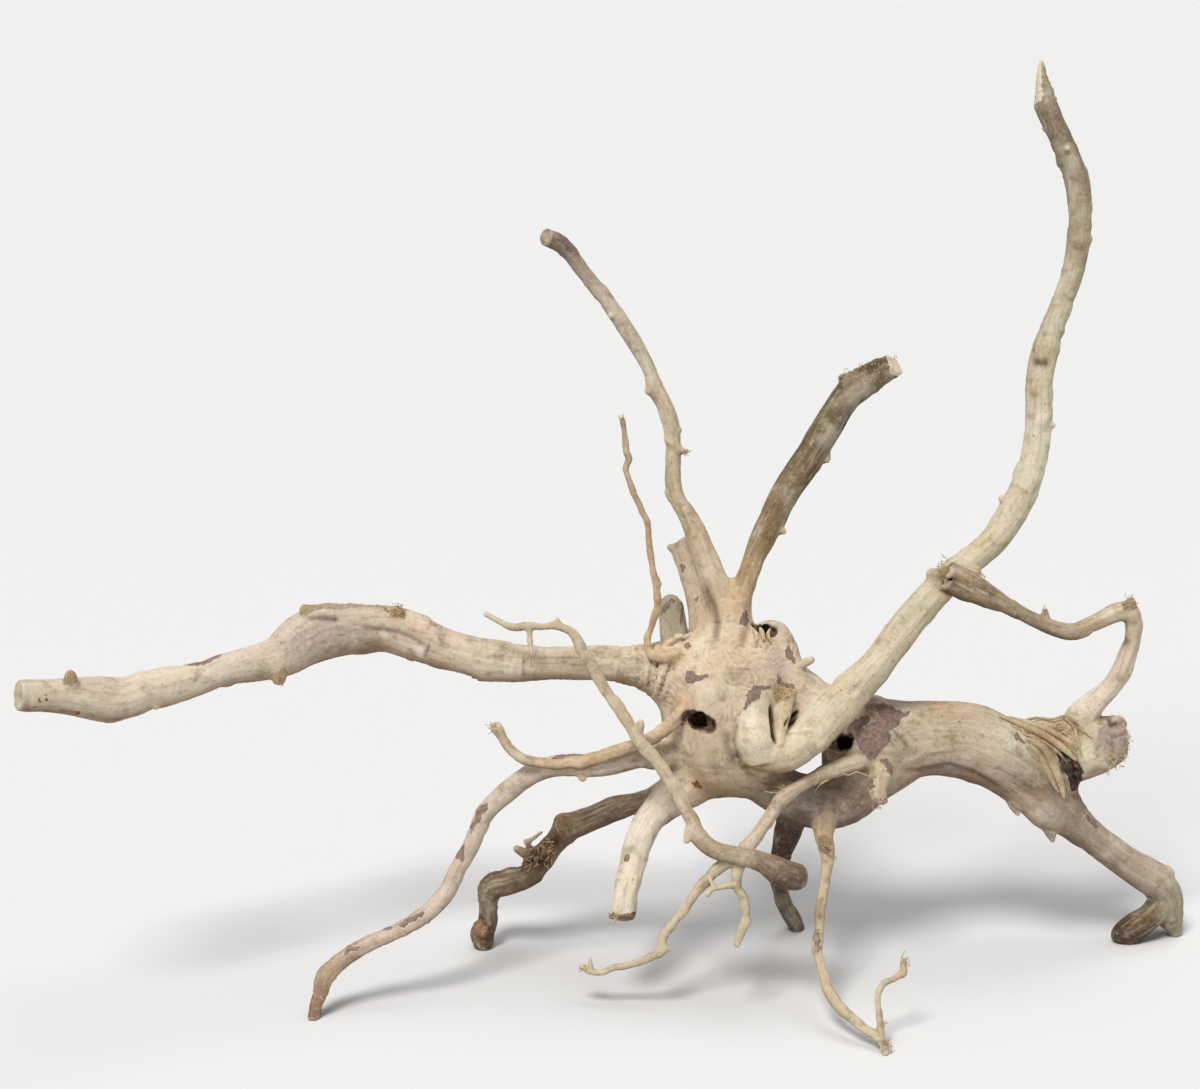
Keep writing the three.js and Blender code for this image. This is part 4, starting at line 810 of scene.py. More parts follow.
def noise(x, y, z, seed=0):
    """Smooth noise from about -1 to 1 with a wavelength near 2."""
    fx, fy, fz = np.floor(x), np.floor(y), np.floor(z)
    ix, iy, iz = (f.astype(np.int64) for f in (fx, fy, fz))
    tx, ty, tz = x - fx, y - fy, z - fz
    tx, ty, tz = (t * t * (3 - 2 * t) for t in (tx, ty, tz))
    total = 0
    for a in (0, 1):
        wx = tx if a else 1 - tx
        for b in (0, 1):
            wy = ty if b else 1 - ty
            for c in (0, 1):
                wz = tz if c else 1 - tz
                total = total + wx * wy * wz * hashed(ix + a, iy + b, iz + c, seed)
    return total


def layered(x, y, z, seed=0, layers=3):
    """Noise at several scales, each half as large and half as strong as the one before."""
    total = 0
    for k in range(layers):
        total = total + noise(x * 2 ** k, y * 2 ** k, z * 2 ** k, seed + k) * 0.5 ** k
    return total


def noise_at(places, size, seed, layers=1):
    """Layered noise at some places. Its longest waves are about two sizes long."""
    return layered(*(places / size).T, seed, layers)


def ramp(value, low, high):
    """0 below low, 1 above high, smooth between."""
    t = np.clip((value - low) / (high - low), 0, 1)
    return t * t * (3 - 2 * t)


# The wood as a field: the distance to its surface at each corner of a grid, negative inside


class Grid:
    """A block of cubes, with the distance to the wood's surface at each corner."""

    def __init__(self, low, high, step):
        self.step = step
        self.low = np.asarray(low, float)
        self.count = np.ceil((np.asarray(high) - self.low) / step).astype(int) + 1
        self.values = np.full(self.count, BIG, np.float32)

    def part(self, low, high):
        """The slices of the grid between two corners."""
        first = np.clip(np.floor((low - self.low) / self.step).astype(int), 0, self.count - 1)
        last = np.clip(np.ceil((high - self.low) / self.step).astype(int) + 1, first + 1, self.count)
        return first, last

    def offsets(self, first, last, centre):
        """How far the corners between first and last lie from a place, one array for each axis."""
        x, y, z = (self.low[k] + self.step * np.arange(first[k], last[k]) for k in range(3))
        return x[:, None, None] - centre[0], y[None, :, None] - centre[1], z[None, None, :] - centre[2]


def window(values, first, last):
    """A view of the part of a block between first and last."""
    return values[first[0]:last[0], first[1]:last[1], first[2]:last[2]]


def dot(offsets, direction):
    """How far offsets on three axes lead in a direction."""
    return sum(offset * share for offset, share in zip(offsets, direction))


def square(offsets):
    """The square of the distance that offsets on three axes make."""
    return sum(offset ** 2 for offset in offsets)


def cut_end(grid, first, last, values, route, at):
    """Ends a branch: sawn flat, torn with a ragged face, or a little way into the wood that carries it."""
    kind, centre, radius = route.ends[at], route.centre[at], route.radius[at]
    offsets = grid.offsets(first, last, centre)
    reach = 2.2 * radius + 6
    near = square(offsets) < reach ** 2
    beyond = dot(offsets, route.along[at] * OUTWARD[at])
    if kind == "torn":
        u, v = dot(offsets, route.across[at]), dot(offsets, route.beside[at])
        beyond = beyond + layered(u / 4.0 + 7, v / 4.0, 0 * u + radius, 11, 2) * TORN_DEPTH * radius
    if kind == "sunk":
        beyond = beyond - SUNK_DEPTH * radius
    return np.where(near, np.maximum(values, beyond), values).astype(np.float32)


def route_field(grid, route, band):
    """The distance to one branch, in the slices of the grid round it."""
    reach = route.radius.max() + band
    first, last = grid.part(route.centre.min(0) - reach, route.centre.max(0) + reach)
    values = np.full(last - first, BIG, np.float32)
    centre, radius = route.centre.copy(), route.radius
    for at in (0, -1):
        if route.ends[at] == "round":
            centre[at] = centre[at] - route.along[at] * OUTWARD[at] * ROUND_DEPTH * radius[at]
    for a, b, ra, rb in zip(centre[:-1], centre[1:], radius[:-1], radius[1:]):
        span = b - a
        wide = max(ra, rb)
        start, stop = grid.part(np.minimum(a, b) - wide - band, np.maximum(a, b) + wide + band)
        start, stop = np.maximum(start, first), np.minimum(stop, last)
        offsets = grid.offsets(start, stop, a)
        t = np.clip(dot(offsets, span) / max(span @ span, 1e-9), 0, 1)
        gap = np.sqrt(square(offset - t * step for offset, step in zip(offsets, span)))
        view = window(values, start - first, stop - first)
        np.minimum(view, gap - (ra + t * (rb - ra)), out=view)
    for at in (0, -1):
        if route.ends[at] != "round":
            values = cut_end(grid, first, last, values, route, at)
    return first, last, values


def fillet(one, other, blend):
    """What a rounded corner, about as wide as blend, adds where two surfaces meet."""
    return np.maximum(blend - np.abs(one - other), 0) ** 2 / (4 * blend)


def grow(grid, route, blend):
    """Adds a branch to the wood, with a fillet about as wide as blend."""
    first, last, values = route_field(grid, route, blend + 3 * grid.step)
    view = window(grid.values, first, last)
    view[...] = np.minimum(view, values) - fillet(view, values, blend)


def carve(grid, route, blend):
    """Cuts a hollow with ragged sides into the wood."""
    first, last, values = route_field(grid, route, blend + 3 * grid.step)
    view = window(grid.values, first, last)
    flat = np.zeros(last - first)
    x, y, z = (axis / 5.0 + flat for axis in grid.offsets(first, last, (0, 0, 0)))
    hollow = -(values + HOLLOW_ROUGHNESS * layered(x, y, z, 90, 2))
    view[...] = np.maximum(view, hollow) + fillet(view, hollow, blend)


def sample(grid, places):
    """The field and its slope at some places."""
    at = (places - grid.low) / grid.step
    cell = np.clip(np.floor(at).astype(int), 0, grid.count - 2)
    t = at - cell
    i, j, k = cell.T
    c = [[[grid.values[i + a, j + b, k + d] for d in (0, 1)] for b in (0, 1)] for a in (0, 1)]
    x, y, z = t.T
    value = 0
    slope = np.zeros((3, len(places)))
    for a in (0, 1):
        wx, gx = (x, 1) if a else (1 - x, -1)
        for b in (0, 1):
            wy, gy = (y, 1) if b else (1 - y, -1)
            for d in (0, 1):
                wz, gz = (z, 1) if d else (1 - z, -1)
                corner = c[a][b][d]
                value = value + wx * wy * wz * corner
                slope[0] += gx * wy * wz * corner
                slope[1] += wx * gy * wz * corner
                slope[2] += wx * wy * gz * corner
    return value, slope.T / grid.step


def one_step_apart(values, axis):
    """Two views of a block that lie one step apart along an axis."""
    lower = [slice(None)] * 3
    upper = [slice(None)] * 3
    lower[axis] = slice(None, -1)
    upper[axis] = slice(1, None)
    return values[tuple(lower)], values[tuple(upper)]


def surface(grid):
    """The places and four-sided faces of the surface: one place in each cube that it passes through."""
    inside = grid.values < 0
    corners_inside = inside.astype(np.uint8)
    for axis in range(3):
        lower, upper = one_step_apart(corners_inside, axis)
        corners_inside = lower + upper
    passed = (corners_inside > 0) & (corners_inside < 8)
    cells = np.argwhere(passed)
    number = np.full(passed.shape, -1, np.int32)
    number[passed] = np.arange(len(cells), dtype=np.int32)
    i, j, k = cells.T
    corner = {
        (a, b, c): grid.values[i + a, j + b, k + c].astype(np.float64)
        for a in (0, 1) for b in (0, 1) for c in (0, 1)
    }
    total = np.zeros((len(cells), 3))
    crossings = np.zeros(len(cells))
    for axis in range(3):
        for a in (0, 1):
            for b in (0, 1):
                start = [a, b]
                start.insert(axis, 0)
                end = [a, b]
                end.insert(axis, 1)
                p, q = corner[tuple(start)], corner[tuple(end)]
                crosses = (p < 0) != (q < 0)
                spot = np.tile(np.array(start, float), (len(cells), 1))
                spot[:, axis] = np.where(crosses, p / np.where(crosses, p - q, 1), 0)
                total += spot * crosses[:, None]
                crossings += crosses
    places = grid.low + grid.step * (cells + total / crossings[:, None])
    faces = []
    for axis in range(3):
        starts, stops = one_step_apart(inside, axis)
        edges = np.argwhere(starts != stops)
        leaves = starts[tuple(edges.T)]
        second, third = (axis + 1) % 3, (axis + 2) % 3
        quad = []
        for ds, dt in ((-1, -1), (0, -1), (0, 0), (-1, 0)):
            cell = edges.copy()
            cell[:, second] += ds
            cell[:, third] += dt
            quad.append(number[tuple(cell.T)])
        quad = np.column_stack(quad)
        quad[~leaves] = quad[~leaves][:, ::-1]
        faces.append(quad)
    return places, np.vstack(faces)


def edges_of(faces):
    """Each edge of the faces once, as a pair of places."""
    pairs = np.vstack([faces[:, [a, (a + 1) % 4]] for a in range(4)])
    pairs.sort(axis=1)
    return np.unique(pairs, axis=0)


def neighbour_mean(values, edges):
    """The mean of each place's neighbours."""
    count = len(values)
    a, b = edges.T
    degree = np.bincount(a, minlength=count) + np.bincount(b, minlength=count)
    columns = []
    for column in values.reshape(count, -1).T:
        total = np.bincount(a, column[b], count) + np.bincount(b, column[a], count)
        columns.append(total / np.maximum(degree, 1))
    return np.column_stack(columns).reshape(values.shape)


def face_normals_at(places, faces):
    """A normal for each place, from the faces round it."""
    diagonal_a = places[faces[:, 2]] - places[faces[:, 0]]
    diagonal_b = places[faces[:, 3]] - places[faces[:, 1]]
    normal = np.cross(diagonal_a, diagonal_b)
    total = np.zeros_like(places)
    for corner in range(4):
        for axis in range(3):
            total[:, axis] += np.bincount(faces[:, corner], normal[:, axis], len(places))
    return total / np.maximum(np.linalg.norm(total, axis=1), 1e-9)[:, None]


# The body of the wood


def region_grid(low, high, branches):
    """A grid round what the branches fill of one region."""
    reach_low = np.min([(r.centre - r.radius[:, None]).min(0) for r in branches], axis=0) - GRID_MARGIN
    reach_high = np.max([(r.centre + r.radius[:, None]).max(0) for r in branches], axis=0) + GRID_MARGIN
    return Grid(np.maximum(reach_low, np.array(low) - SEAM / 2 - 2 * CUBE),
                np.minimum(reach_high, np.array(high) + SEAM / 2 + 2 * CUBE), CUBE)


def close_region(grid, low, high):
    """Ends the wood at the floor, and at the region's sides, where it dips under the next region."""
    axes = grid.offsets((0, 0, 0), grid.count, (0, 0, 0))
    for k in range(3):
        for edge, sign in ((low[k], -1), (high[k], 1)):
            if abs(edge) < BIG:
                past = (sign * (axes[k] - edge)).astype(np.float32)
                dip = SEAM_DEPTH * np.clip(past / SEAM + 0.5, 0, 1) ** 2
                grid.values = np.maximum(grid.values + dip, past - SEAM / 2)
    grid.values = np.maximum(grid.values, -axes[2].astype(np.float32))


def cut_wood(grid, spot, toward, reach):
    """A sawn face through a drawn spot, facing a second one."""
    (centre, target), _ = to_space([(*spot, 1), (*toward, 1)])
    facing = (target - centre) / np.linalg.norm(target - centre)
    if np.any(centre + reach < grid.low) or np.any(centre - reach > grid.low + grid.step * grid.count):
        return
    first, last = grid.part(centre - reach, centre + reach)
    offsets = grid.offsets(first, last, centre)
    view = window(grid.values, first, last)
    view[...] = np.where(square(offsets) < reach ** 2, np.maximum(view, dot(offsets, facing)), view)


def build_region(low, high, routes, nubs, hollows):
    """One region's mesh: branches, nubs and hollows as one field, which is meshed and relaxed onto it."""
    grid = region_grid(low, high, routes + nubs)
    for route in routes:
        grow(grid, route, float(np.clip(BRANCH_FILLET * route.radius.mean(), *FILLET_LIMITS)))
    for nub in nubs:
        grow(grid, nub, NUB_FILLET)
    for hollow in hollows:
        carve(grid, hollow, HOLLOW_FILLET)
    for _, spot, toward, reach in CUTS:
        cut_wood(grid, spot, toward, reach)
    close_region(grid, low, high)
    places, faces = surface(grid)
    edges = edges_of(faces)
    for _ in range(RELAX_ROUNDS):
        places = places + RELAX_SHARE * (neighbour_mean(places, edges) - places)
        value, slope = sample(grid, places)
        steepness = np.maximum((slope ** 2).sum(1), 0.05)
        places = places - slope * (np.clip(value, -CUBE, CUBE) / steepness)[:, None]
    return places, faces, edges


def places_near(places, route, margin):
    """The places in the box round a branch, widened by a margin."""
    reach = route.radius.max() + margin
    low, high = route.centre.min(0) - reach, route.centre.max(0) + reach
    return np.flatnonzero(np.all((places > low) & (places < high), axis=1))


def branch_shares(places, branches):
    """For each branch: the places it carries, how strongly, and their coordinates along and across it."""
    rows = []
    for index, route in enumerate(branches):
        which = places_near(places, route, SHARE_REACH)
        best = np.full(len(which), BIG)
        step = np.zeros(len(which), int)
        for k, (centre, radius) in enumerate(zip(route.centre, route.radius)):
            gap = np.linalg.norm(places[which] - centre, axis=1) - radius
            closer = gap < best
            best[closer] = gap[closer]
            step[closer] = k
        share = np.exp(-np.maximum(best + 1.0, 0) / SHARE_FADE)
        keep = share > LEAST_SHARE
        which, step, share = which[keep], step[keep], share[keep]
        offset = places[which] - route.centre[step]
        rows.append({
            "index": index,
            "which": which,
            "share": share,
            "radius": route.radius[step],
            "along": route.distance[step] + (offset * route.along[step]).sum(1),
            "across": (offset * route.across[step]).sum(1),
            "beside": (offset * route.beside[step]).sum(1),
        })
    return rows


def knots_on(route, index):
    """A branch's knots: distance along it, turn round it, half width and height. Seeded by its index."""
    draw = np.random.default_rng(100 + index)
    spacing = 15 + 1.9 * route.radius.mean()
    knots = []
    for k in range(int(route.distance[-1] / spacing)):
        along = (k + draw.uniform(0.1, 0.9)) * spacing
        here = np.interp(along, route.distance, route.radius)
        width = float(np.clip(here * draw.uniform(0.28, 0.5), 1.5, 6.5))
        knots.append((along, draw.uniform(-math.pi, math.pi), width, width * draw.uniform(0.16, 0.46)))
    return knots


def knot_relief(route, index, radius, u, v, s):
    """The height that the knots add, a hollow middle in a ringed mound, and how dark each is there."""
    height = np.zeros(len(s))
    tone = np.zeros(len(s))
    turn = np.arctan2(v, u)
    for along, angle, width, tall in knots_on(route, index):
        near = np.flatnonzero(np.abs(s - along) < 3.2 * width)
        swing = (turn[near] - angle + math.pi) % (2 * math.pi) - math.pi
        gap = np.hypot(s[near] - along, radius[near] * swing) / width
        height[near] += tall * (np.exp(-gap ** 2) - 0.5 * np.exp(-(gap / 0.32) ** 2))
        height[near] += 0.10 * tall * np.cos(5.5 * gap) * np.exp(-(gap / 1.8) ** 2)
        tone[near] = np.maximum(tone[near], np.exp(-(gap / 0.45) ** 2))
    return height, tone


def hollow_share(places, hollows):
    """1 for each place deep in a hollow, 0 outside them all."""
    share = np.zeros(len(places))
    for hollow in hollows:
        which = places_near(places, hollow, 4)
        gap = np.full(len(which), BIG)
        for centre, radius in zip(hollow.centre, hollow.radius):
            gap = np.minimum(gap, np.linalg.norm(places[which] - centre, axis=1) - radius)
        share[which] = np.maximum(share[which], 1 - ramp(gap, 0.4, 2.6))
    return share


def branch_relief(row, route, shown):
    """The height of one branch's bulges, grain and knots, and how dark the knots are."""
    radius, u, v, s = row["radius"], row["across"], row["beside"], row["along"]
    seed = row["index"] * 7
    width = 0.34 * radius + 1.5
    round_noise = layered(u / radius * 1.1 + seed, v / radius * 1.1, s / (1.6 * radius), 1, 2)
    bulges = BULGES * radius * round_noise
    flutes = shown * FLUTES * radius * layered(u / width + seed, v / width, s / (8 * width), 2, 2)
    sharp = 1 - np.abs(noise(u / (1.4 * width) + seed, v / (1.4 * width), s / (12 * width), 5)) * 2.2
    ribs = shown * RIBS * radius * np.clip(sharp, 0, 1) ** 2
    ripple = RIPPLE * layered(u / 5 + seed, v / 5, s / 2.6, 6, 1) * np.clip(radius / 12, 0, 1)
    fine = shown * FINE_GRAIN * noise(u / 2.4 + seed, v / 2.4, s / 26.0, 3)
    knots, dots = knot_relief(route, row["index"], radius, u, v, s)
    return bulges + flutes + ribs + ripple + fine + knots, dots


def wood_relief(places, branches):
    """The wood's own relief, and its colours from each branch's tint with the painted shade in it, which
    follow each branch, blended where branches join.
    """
    count = len(places)
    relief, weight, tone, lined, first, second = np.zeros((6, count))
    paint, grain = np.zeros((2, count, 3))
    owner = np.full(count, -1)
    for row in branch_shares(places, branches):
        which, share, index = row["which"], row["share"], row["index"]
        route = branches[index]
        shown = GRAIN_SHOWN.get(route.name, USUAL_GRAIN)
        height, dots = branch_relief(row, route, shown)
        relief[which] += share * height
        weight[which] += share
        tone[which] += share * dots
        lined[which] += share * shown
        # A branch's tint: its wood's own tone, with painted shade where it lies in shade
        stops, tints = zip(*TINTS.get(route.name, PLAIN_TINT))
        tints = np.array([srgb(*tint) for tint in tints])
        way = np.clip(row["along"] / route.distance[-1], 0, 1)
        for channel in range(3):
            paint[which, channel] += share * np.interp(way, stops, tints[:, channel])
        leads = share > first[which]
        second[which] = np.where(leads, first[which], np.maximum(second[which], share))
        first[which] = np.where(leads, share, first[which])
        owner[which] = np.where(leads, index, owner[which])
        spun = np.column_stack([row["across"], row["beside"], row["along"] * GRAIN_STRETCH])
        grain[which[leads]] = spun[leads] + index * 31.0
    weight = np.maximum(weight, 1e-6)
    return {
        "relief": relief / weight,
        "knot": tone / weight,
        "shade": np.zeros(count),
        "paint": paint / weight[:, None],
        "owner": owner,
        "grain": grain,
        "clear": np.clip((first - second) / np.maximum(first, 1e-6) * 1.6, 0, 1) * lined / weight,
    }


# Marks drawn on the sheet


def line_distance(spots, points):
    """The distance of each drawn spot to a drawn line, and how far along the line that is, from 0 to 1."""
    points = np.asarray(points, float)
    best = np.full(len(spots), BIG)
    share = np.zeros(len(spots))
    lengths = np.linalg.norm(np.diff(points, axis=0), axis=1)
    ends = way_along(points)
    for k in range(len(points) - 1):
        a, span = points[k], points[k + 1] - points[k]
        t = np.clip(((spots - a) @ span) / max(span @ span, 1e-9), 0, 1)
        gap = np.linalg.norm(spots - a - t[:, None] * span, axis=1)
        closer = gap < best
        best[closer] = gap[closer]
        share[closer] = (ends[k] + t[closer] * lengths[k]) / ends[-1]
    return best, share


def outline_depth(spots, corners):
    """How deep each drawn spot lies inside a drawn outline, negative outside."""
    corners = np.asarray(corners, float)
    gap = np.full(len(spots), BIG)
    inside = np.zeros(len(spots), bool)
    for a, b in zip(corners, np.roll(corners, -1, axis=0)):
        span = b - a
        t = np.clip(((spots - a) @ span) / max(span @ span, 1e-9), 0, 1)
        gap = np.minimum(gap, np.linalg.norm(spots - a - t[:, None] * span, axis=1))
        crosses = (a[1] > spots[:, 1]) != (b[1] > spots[:, 1])
        at = a[0] + (spots[:, 1] - a[1]) * span[0] / (span[1] if abs(span[1]) > 1e-9 else 1e-9)
        inside ^= crosses & (spots[:, 0] < at)
    return np.where(inside, gap, -gap)


def ray_to_eye(places):
    """The direction from each place to the eye that drew the sheet."""
    gaze = SHEET_MIDDLE + EYE * SHEET_FACING - places
    return gaze / np.linalg.norm(gaze, axis=1)[:, None]


class Canvas:
    """A region's places as the sheet shows them, to find what a drawn mark touches."""

    def __init__(self, places, normals, owner, names):
        self.sheet = to_sheet(places)[:, :2]
        self.facing = (normals * ray_to_eye(places)).sum(1)
        self.owner = owner
        self.names = names

    def near(self, on, points, margin):
        """The places on the named branches, or on a nub, that the viewer sees near some drawn points."""
        points = np.asarray(points, float)
        low, high = points[:, :2].min(0) - margin, points[:, :2].max(0) + margin
        found = np.all((self.sheet > low) & (self.sheet < high), axis=1) & (self.facing > 0)
        if on:
            named = np.isin(self.owner, [self.names.index(name) for name in on])
            found &= named | (self.owner >= len(self.names))
        return np.flatnonzero(found)

    def turned(self, which):
        """1 for the places that face the viewer, fading to 0 at the wood's outline."""
        return ramp(self.facing[which], 0, 0.3)


def mark_depths(places, canvas):
    """How deep each place lies in the marks of each kind, negative outside them."""
    depth = {kind: np.full(len(places), -EDGE_REACH) for kind in MARK_KINDS}
    hidden = ramp(-canvas.facing, 0.0, 0.35)
    bark = noise_at(places, 23, 40, 4) + 0.55 * noise_at(places, 110, 43) - BARK_FROM
    crumb = noise_at(places, 15, 50, 2) - CRUMB_FROM
    for kind, scattered in (("bark", bark), ("crumb", crumb)):
        depth[kind] = np.maximum(depth[kind], scattered * DEEPENING - (1 - hidden) * KEPT_OFF)
    for kind, on, corners in MARKS:
        which = canvas.near(on, corners, EDGE_REACH)
        found = outline_depth(canvas.sheet[which], corners)
        depth[kind][which] = np.maximum(depth[kind][which], found)
    return depth


def press(wood, which, height, shade):
    """Adds relief to some places, and paints shade into them where it isn't deeper yet."""
    wood["relief"][which] += height
    wood["shade"][which] = np.maximum(wood["shade"][which], shade)


def press_marks(places, canvas, wood, depth):
    """The relief of the marks, the drawn lines and the folds, and the painted shade in the pressed lines
    and the folds' troughs.
    """
    wood["relief"] += BARK_HEIGHT * ramp(depth["bark"], -0.4, 0.7)
    wood["relief"] += CRUMB_HEIGHT * ramp(depth["crumb"], -1.0, 1.5) * noise_at(places, 1.9, 60, 2)
    wood["relief"] -= DARK_DEPTH * ramp(depth["dark"], -0.6, 1.0)
    for height, width, on, points in LINES:
        which = canvas.near(on, points, 3 * width)
        gap, share = line_distance(canvas.sheet[which], points)
        fade = np.clip(4 * np.minimum(share, 1 - share) + 0.15, 0, 1) * canvas.turned(which)
        line = height * fade * np.exp(-(gap / width) ** 2)
        press(wood, which, line, np.clip(-line / 3.6, 0, 2))
    for height, spacing, reach, on, points in FOLDS:
        which = canvas.near(on, points, reach)
        gap, _ = line_distance(canvas.sheet[which], points)
        sway = noise_at(places[which], 11, 70, 2)
        broken = 0.25 + 0.75 * ramp(noise_at(places[which], 9, 71), -0.5, 0.2)
        wave = np.cos(2 * math.pi * (gap / spacing + 0.75 * sway))
        fade = (1 - ramp(gap, 0.35 * reach, reach)) * canvas.turned(which) * broken
        press(wood, which, height * fade * wave, 0.5 * fade * np.clip(-wave, 0, 1))


def stain_and_shade(places, canvas, wood):
    """Blends the stains' colours and the patches of painted shade into the wood's, with soft uneven edges.
    """
    for colour, strength, on, circles in STAINS_AND_SHADE:
        which = canvas.near(on, circles, max(radius for _, _, radius in circles))
        uneven = 0.25 * noise_at(places[which], 6, 80)
        for across, down, radius in circles:
            gap = np.linalg.norm(canvas.sheet[which] - (across, down), axis=1) / radius
            share = (strength * (1 - ramp(gap + uneven, 0.2, 1.0)))[:, None]
            wood["paint"][which] = wood["paint"][which] * (1 - share) + np.array(srgb(*colour)) * share


# The wood's material


class Nodes:
    """Short ways to add nodes to a material."""

    def __init__(self, name):
        self.material = bpy.data.materials.new(name)
        self.material.use_nodes = True
        self.tree = self.material.node_tree
        self.shader = self.tree.nodes["Principled BSDF"]

    def put(self, value, socket):
        """Links an output to a socket, or sets a plain value there."""
        if hasattr(value, "is_output"):
            self.tree.links.new(value, socket)
        else:
            socket.default_value = value

    def attribute(self, name):
        """What the mesh keeps under a name, as a node's outputs."""
        node = self.tree.nodes.new("ShaderNodeAttribute")
        node.attribute_name = name
        return node.outputs

    def channels(self, name):
        """The four numbers of a colour attribute."""
        outputs = self.attribute(name)
        split = self.tree.nodes.new("ShaderNodeSeparateColor")
        self.put(outputs["Color"], split.inputs["Color"])
        return [*split.outputs, outputs["Alpha"]]

    def math(self, operation, a, b=0.0):
        """One sum on two values."""
        node = self.tree.nodes.new("ShaderNodeMath")
        node.operation = operation
        self.put(a, node.inputs[0])
        self.put(b, node.inputs[1])
        return node.outputs[0]

    def add(self, *values):
        """The sum of some values."""
        total = values[0]
        for value in values[1:]:
            total = self.math("ADD", total, value)
        return total

    def times(self, *values):
        """The product of some values."""
        total = values[0]
        for value in values[1:]:
            total = self.math("MULTIPLY", total, value)
        return total

    def noise(self, vector, scale, detail=3.0, roughness=0.55):
        """Layered noise, mostly from 0.3 to 0.7."""
        node = self.tree.nodes.new("ShaderNodeTexNoise")
        self.put(vector, node.inputs["Vector"])
        node.inputs["Scale"].default_value = scale
        node.inputs["Detail"].default_value = detail
        node.inputs["Roughness"].default_value = roughness
        return node.outputs["Fac"]

    def specks(self, vector, scale, size):
        """1 in small round spots of unlike sizes, about one in each cell of the scale."""
        node = self.tree.nodes.new("ShaderNodeTexVoronoi")
        self.put(vector, node.inputs["Vector"])
        node.inputs["Scale"].default_value = scale
        reach = self.times(self.noise(vector, scale * 0.35, 2), size)
        return self.between(self.math("SUBTRACT", reach, node.outputs["Distance"]), 0.0, 0.08)

    def between(self, value, low, high, out_low=0.0, out_high=1.0):
        """value from low to high becomes out_low to out_high, smoothly."""
        node = self.tree.nodes.new("ShaderNodeMapRange")
        node.interpolation_type = "SMOOTHSTEP"
        self.put(value, node.inputs["Value"])
        node.inputs["From Min"].default_value = low
        node.inputs["From Max"].default_value = high
        node.inputs["To Min"].default_value = out_low
        node.inputs["To Max"].default_value = out_high
        return node.outputs["Result"]

    def mix(self, share, a, b, how="MIX"):
        """Colour a with a share of colour b mixed in."""
        node = self.tree.nodes.new("ShaderNodeMix")
        node.data_type = "RGBA"
        node.blend_type = how
        self.put(share, node.inputs["Factor"])
        sockets = [s for s in node.inputs if s.type == "RGBA"]
        for value, socket in zip((a, b), sockets):
            self.put(value if hasattr(value, "is_output") else (*value, 1), socket)
        return next(s for s in node.outputs if s.type == "RGBA")

    def bump(self, height, strength, distance):
        """Small relief that only the light shows."""
        node = self.tree.nodes.new("ShaderNodeBump")
        node.inputs["Strength"].default_value = strength
        node.inputs["Distance"].default_value = distance
        self.put(height, node.inputs["Height"])
        return node.outputs["Normal"]


BARK_TONES = srgb(150, 124, 112), srgb(116, 92, 82)
CRUMB_TONES = srgb(255, 250, 236), srgb(186, 160, 130)
RUST_TONE = srgb(116, 84, 62)
# The deepest painted shade, in deep grooves and in pits
DEEP_SHADE_TONE = srgb(70, 50, 40)
# The inside of the hollows: their own darker wood, with painted shade
HOLLOW_WOOD_AND_SHADE_TONE = srgb(112, 80, 68)
PALE_TONE = srgb(232, 220, 190)
# Painted shade in creases and grooves, and the darker fibres, specks and knots
SHADE_AND_GRAIN_TONE = srgb(112, 86, 62)
# Soil stains, dark grain and rust's edges, and the painted shade on the sides that face down
SOIL_AND_SHADE_TONE = srgb(146, 120, 94)
WARM_TONE = srgb(226, 196, 156)
GREEN_TONE = srgb(190, 182, 148)
BLEACHED_TONE = srgb(242, 232, 212)
STRAW_TONES = srgb(214, 196, 164), srgb(176, 150, 118)
STRAW_SPECK = srgb(150, 122, 92)

# Washes of colour over the bare wood, one after another: the noise that brings each, from where to where it
# fades in, its strength and tone, and how it is mixed in
WASHES = [
    ("clouds", 0.40, 0.68, 0.20, WARM_TONE, "MULTIPLY"),
    ("clouds", 0.50, 0.30, 0.34, BLEACHED_TONE, "MIX"),
    ("drifts", 0.50, 0.66, 0.40, GREEN_TONE, "MIX"),
    ("patches", 0.52, 0.70, 0.40, SOIL_AND_SHADE_TONE, "MULTIPLY"),
    ("speckle", 0.52, 0.72, 0.42, SOIL_AND_SHADE_TONE, "MULTIPLY"),
    ("speckle", 0.46, 0.30, 0.26, BLEACHED_TONE, "MIX"),
]


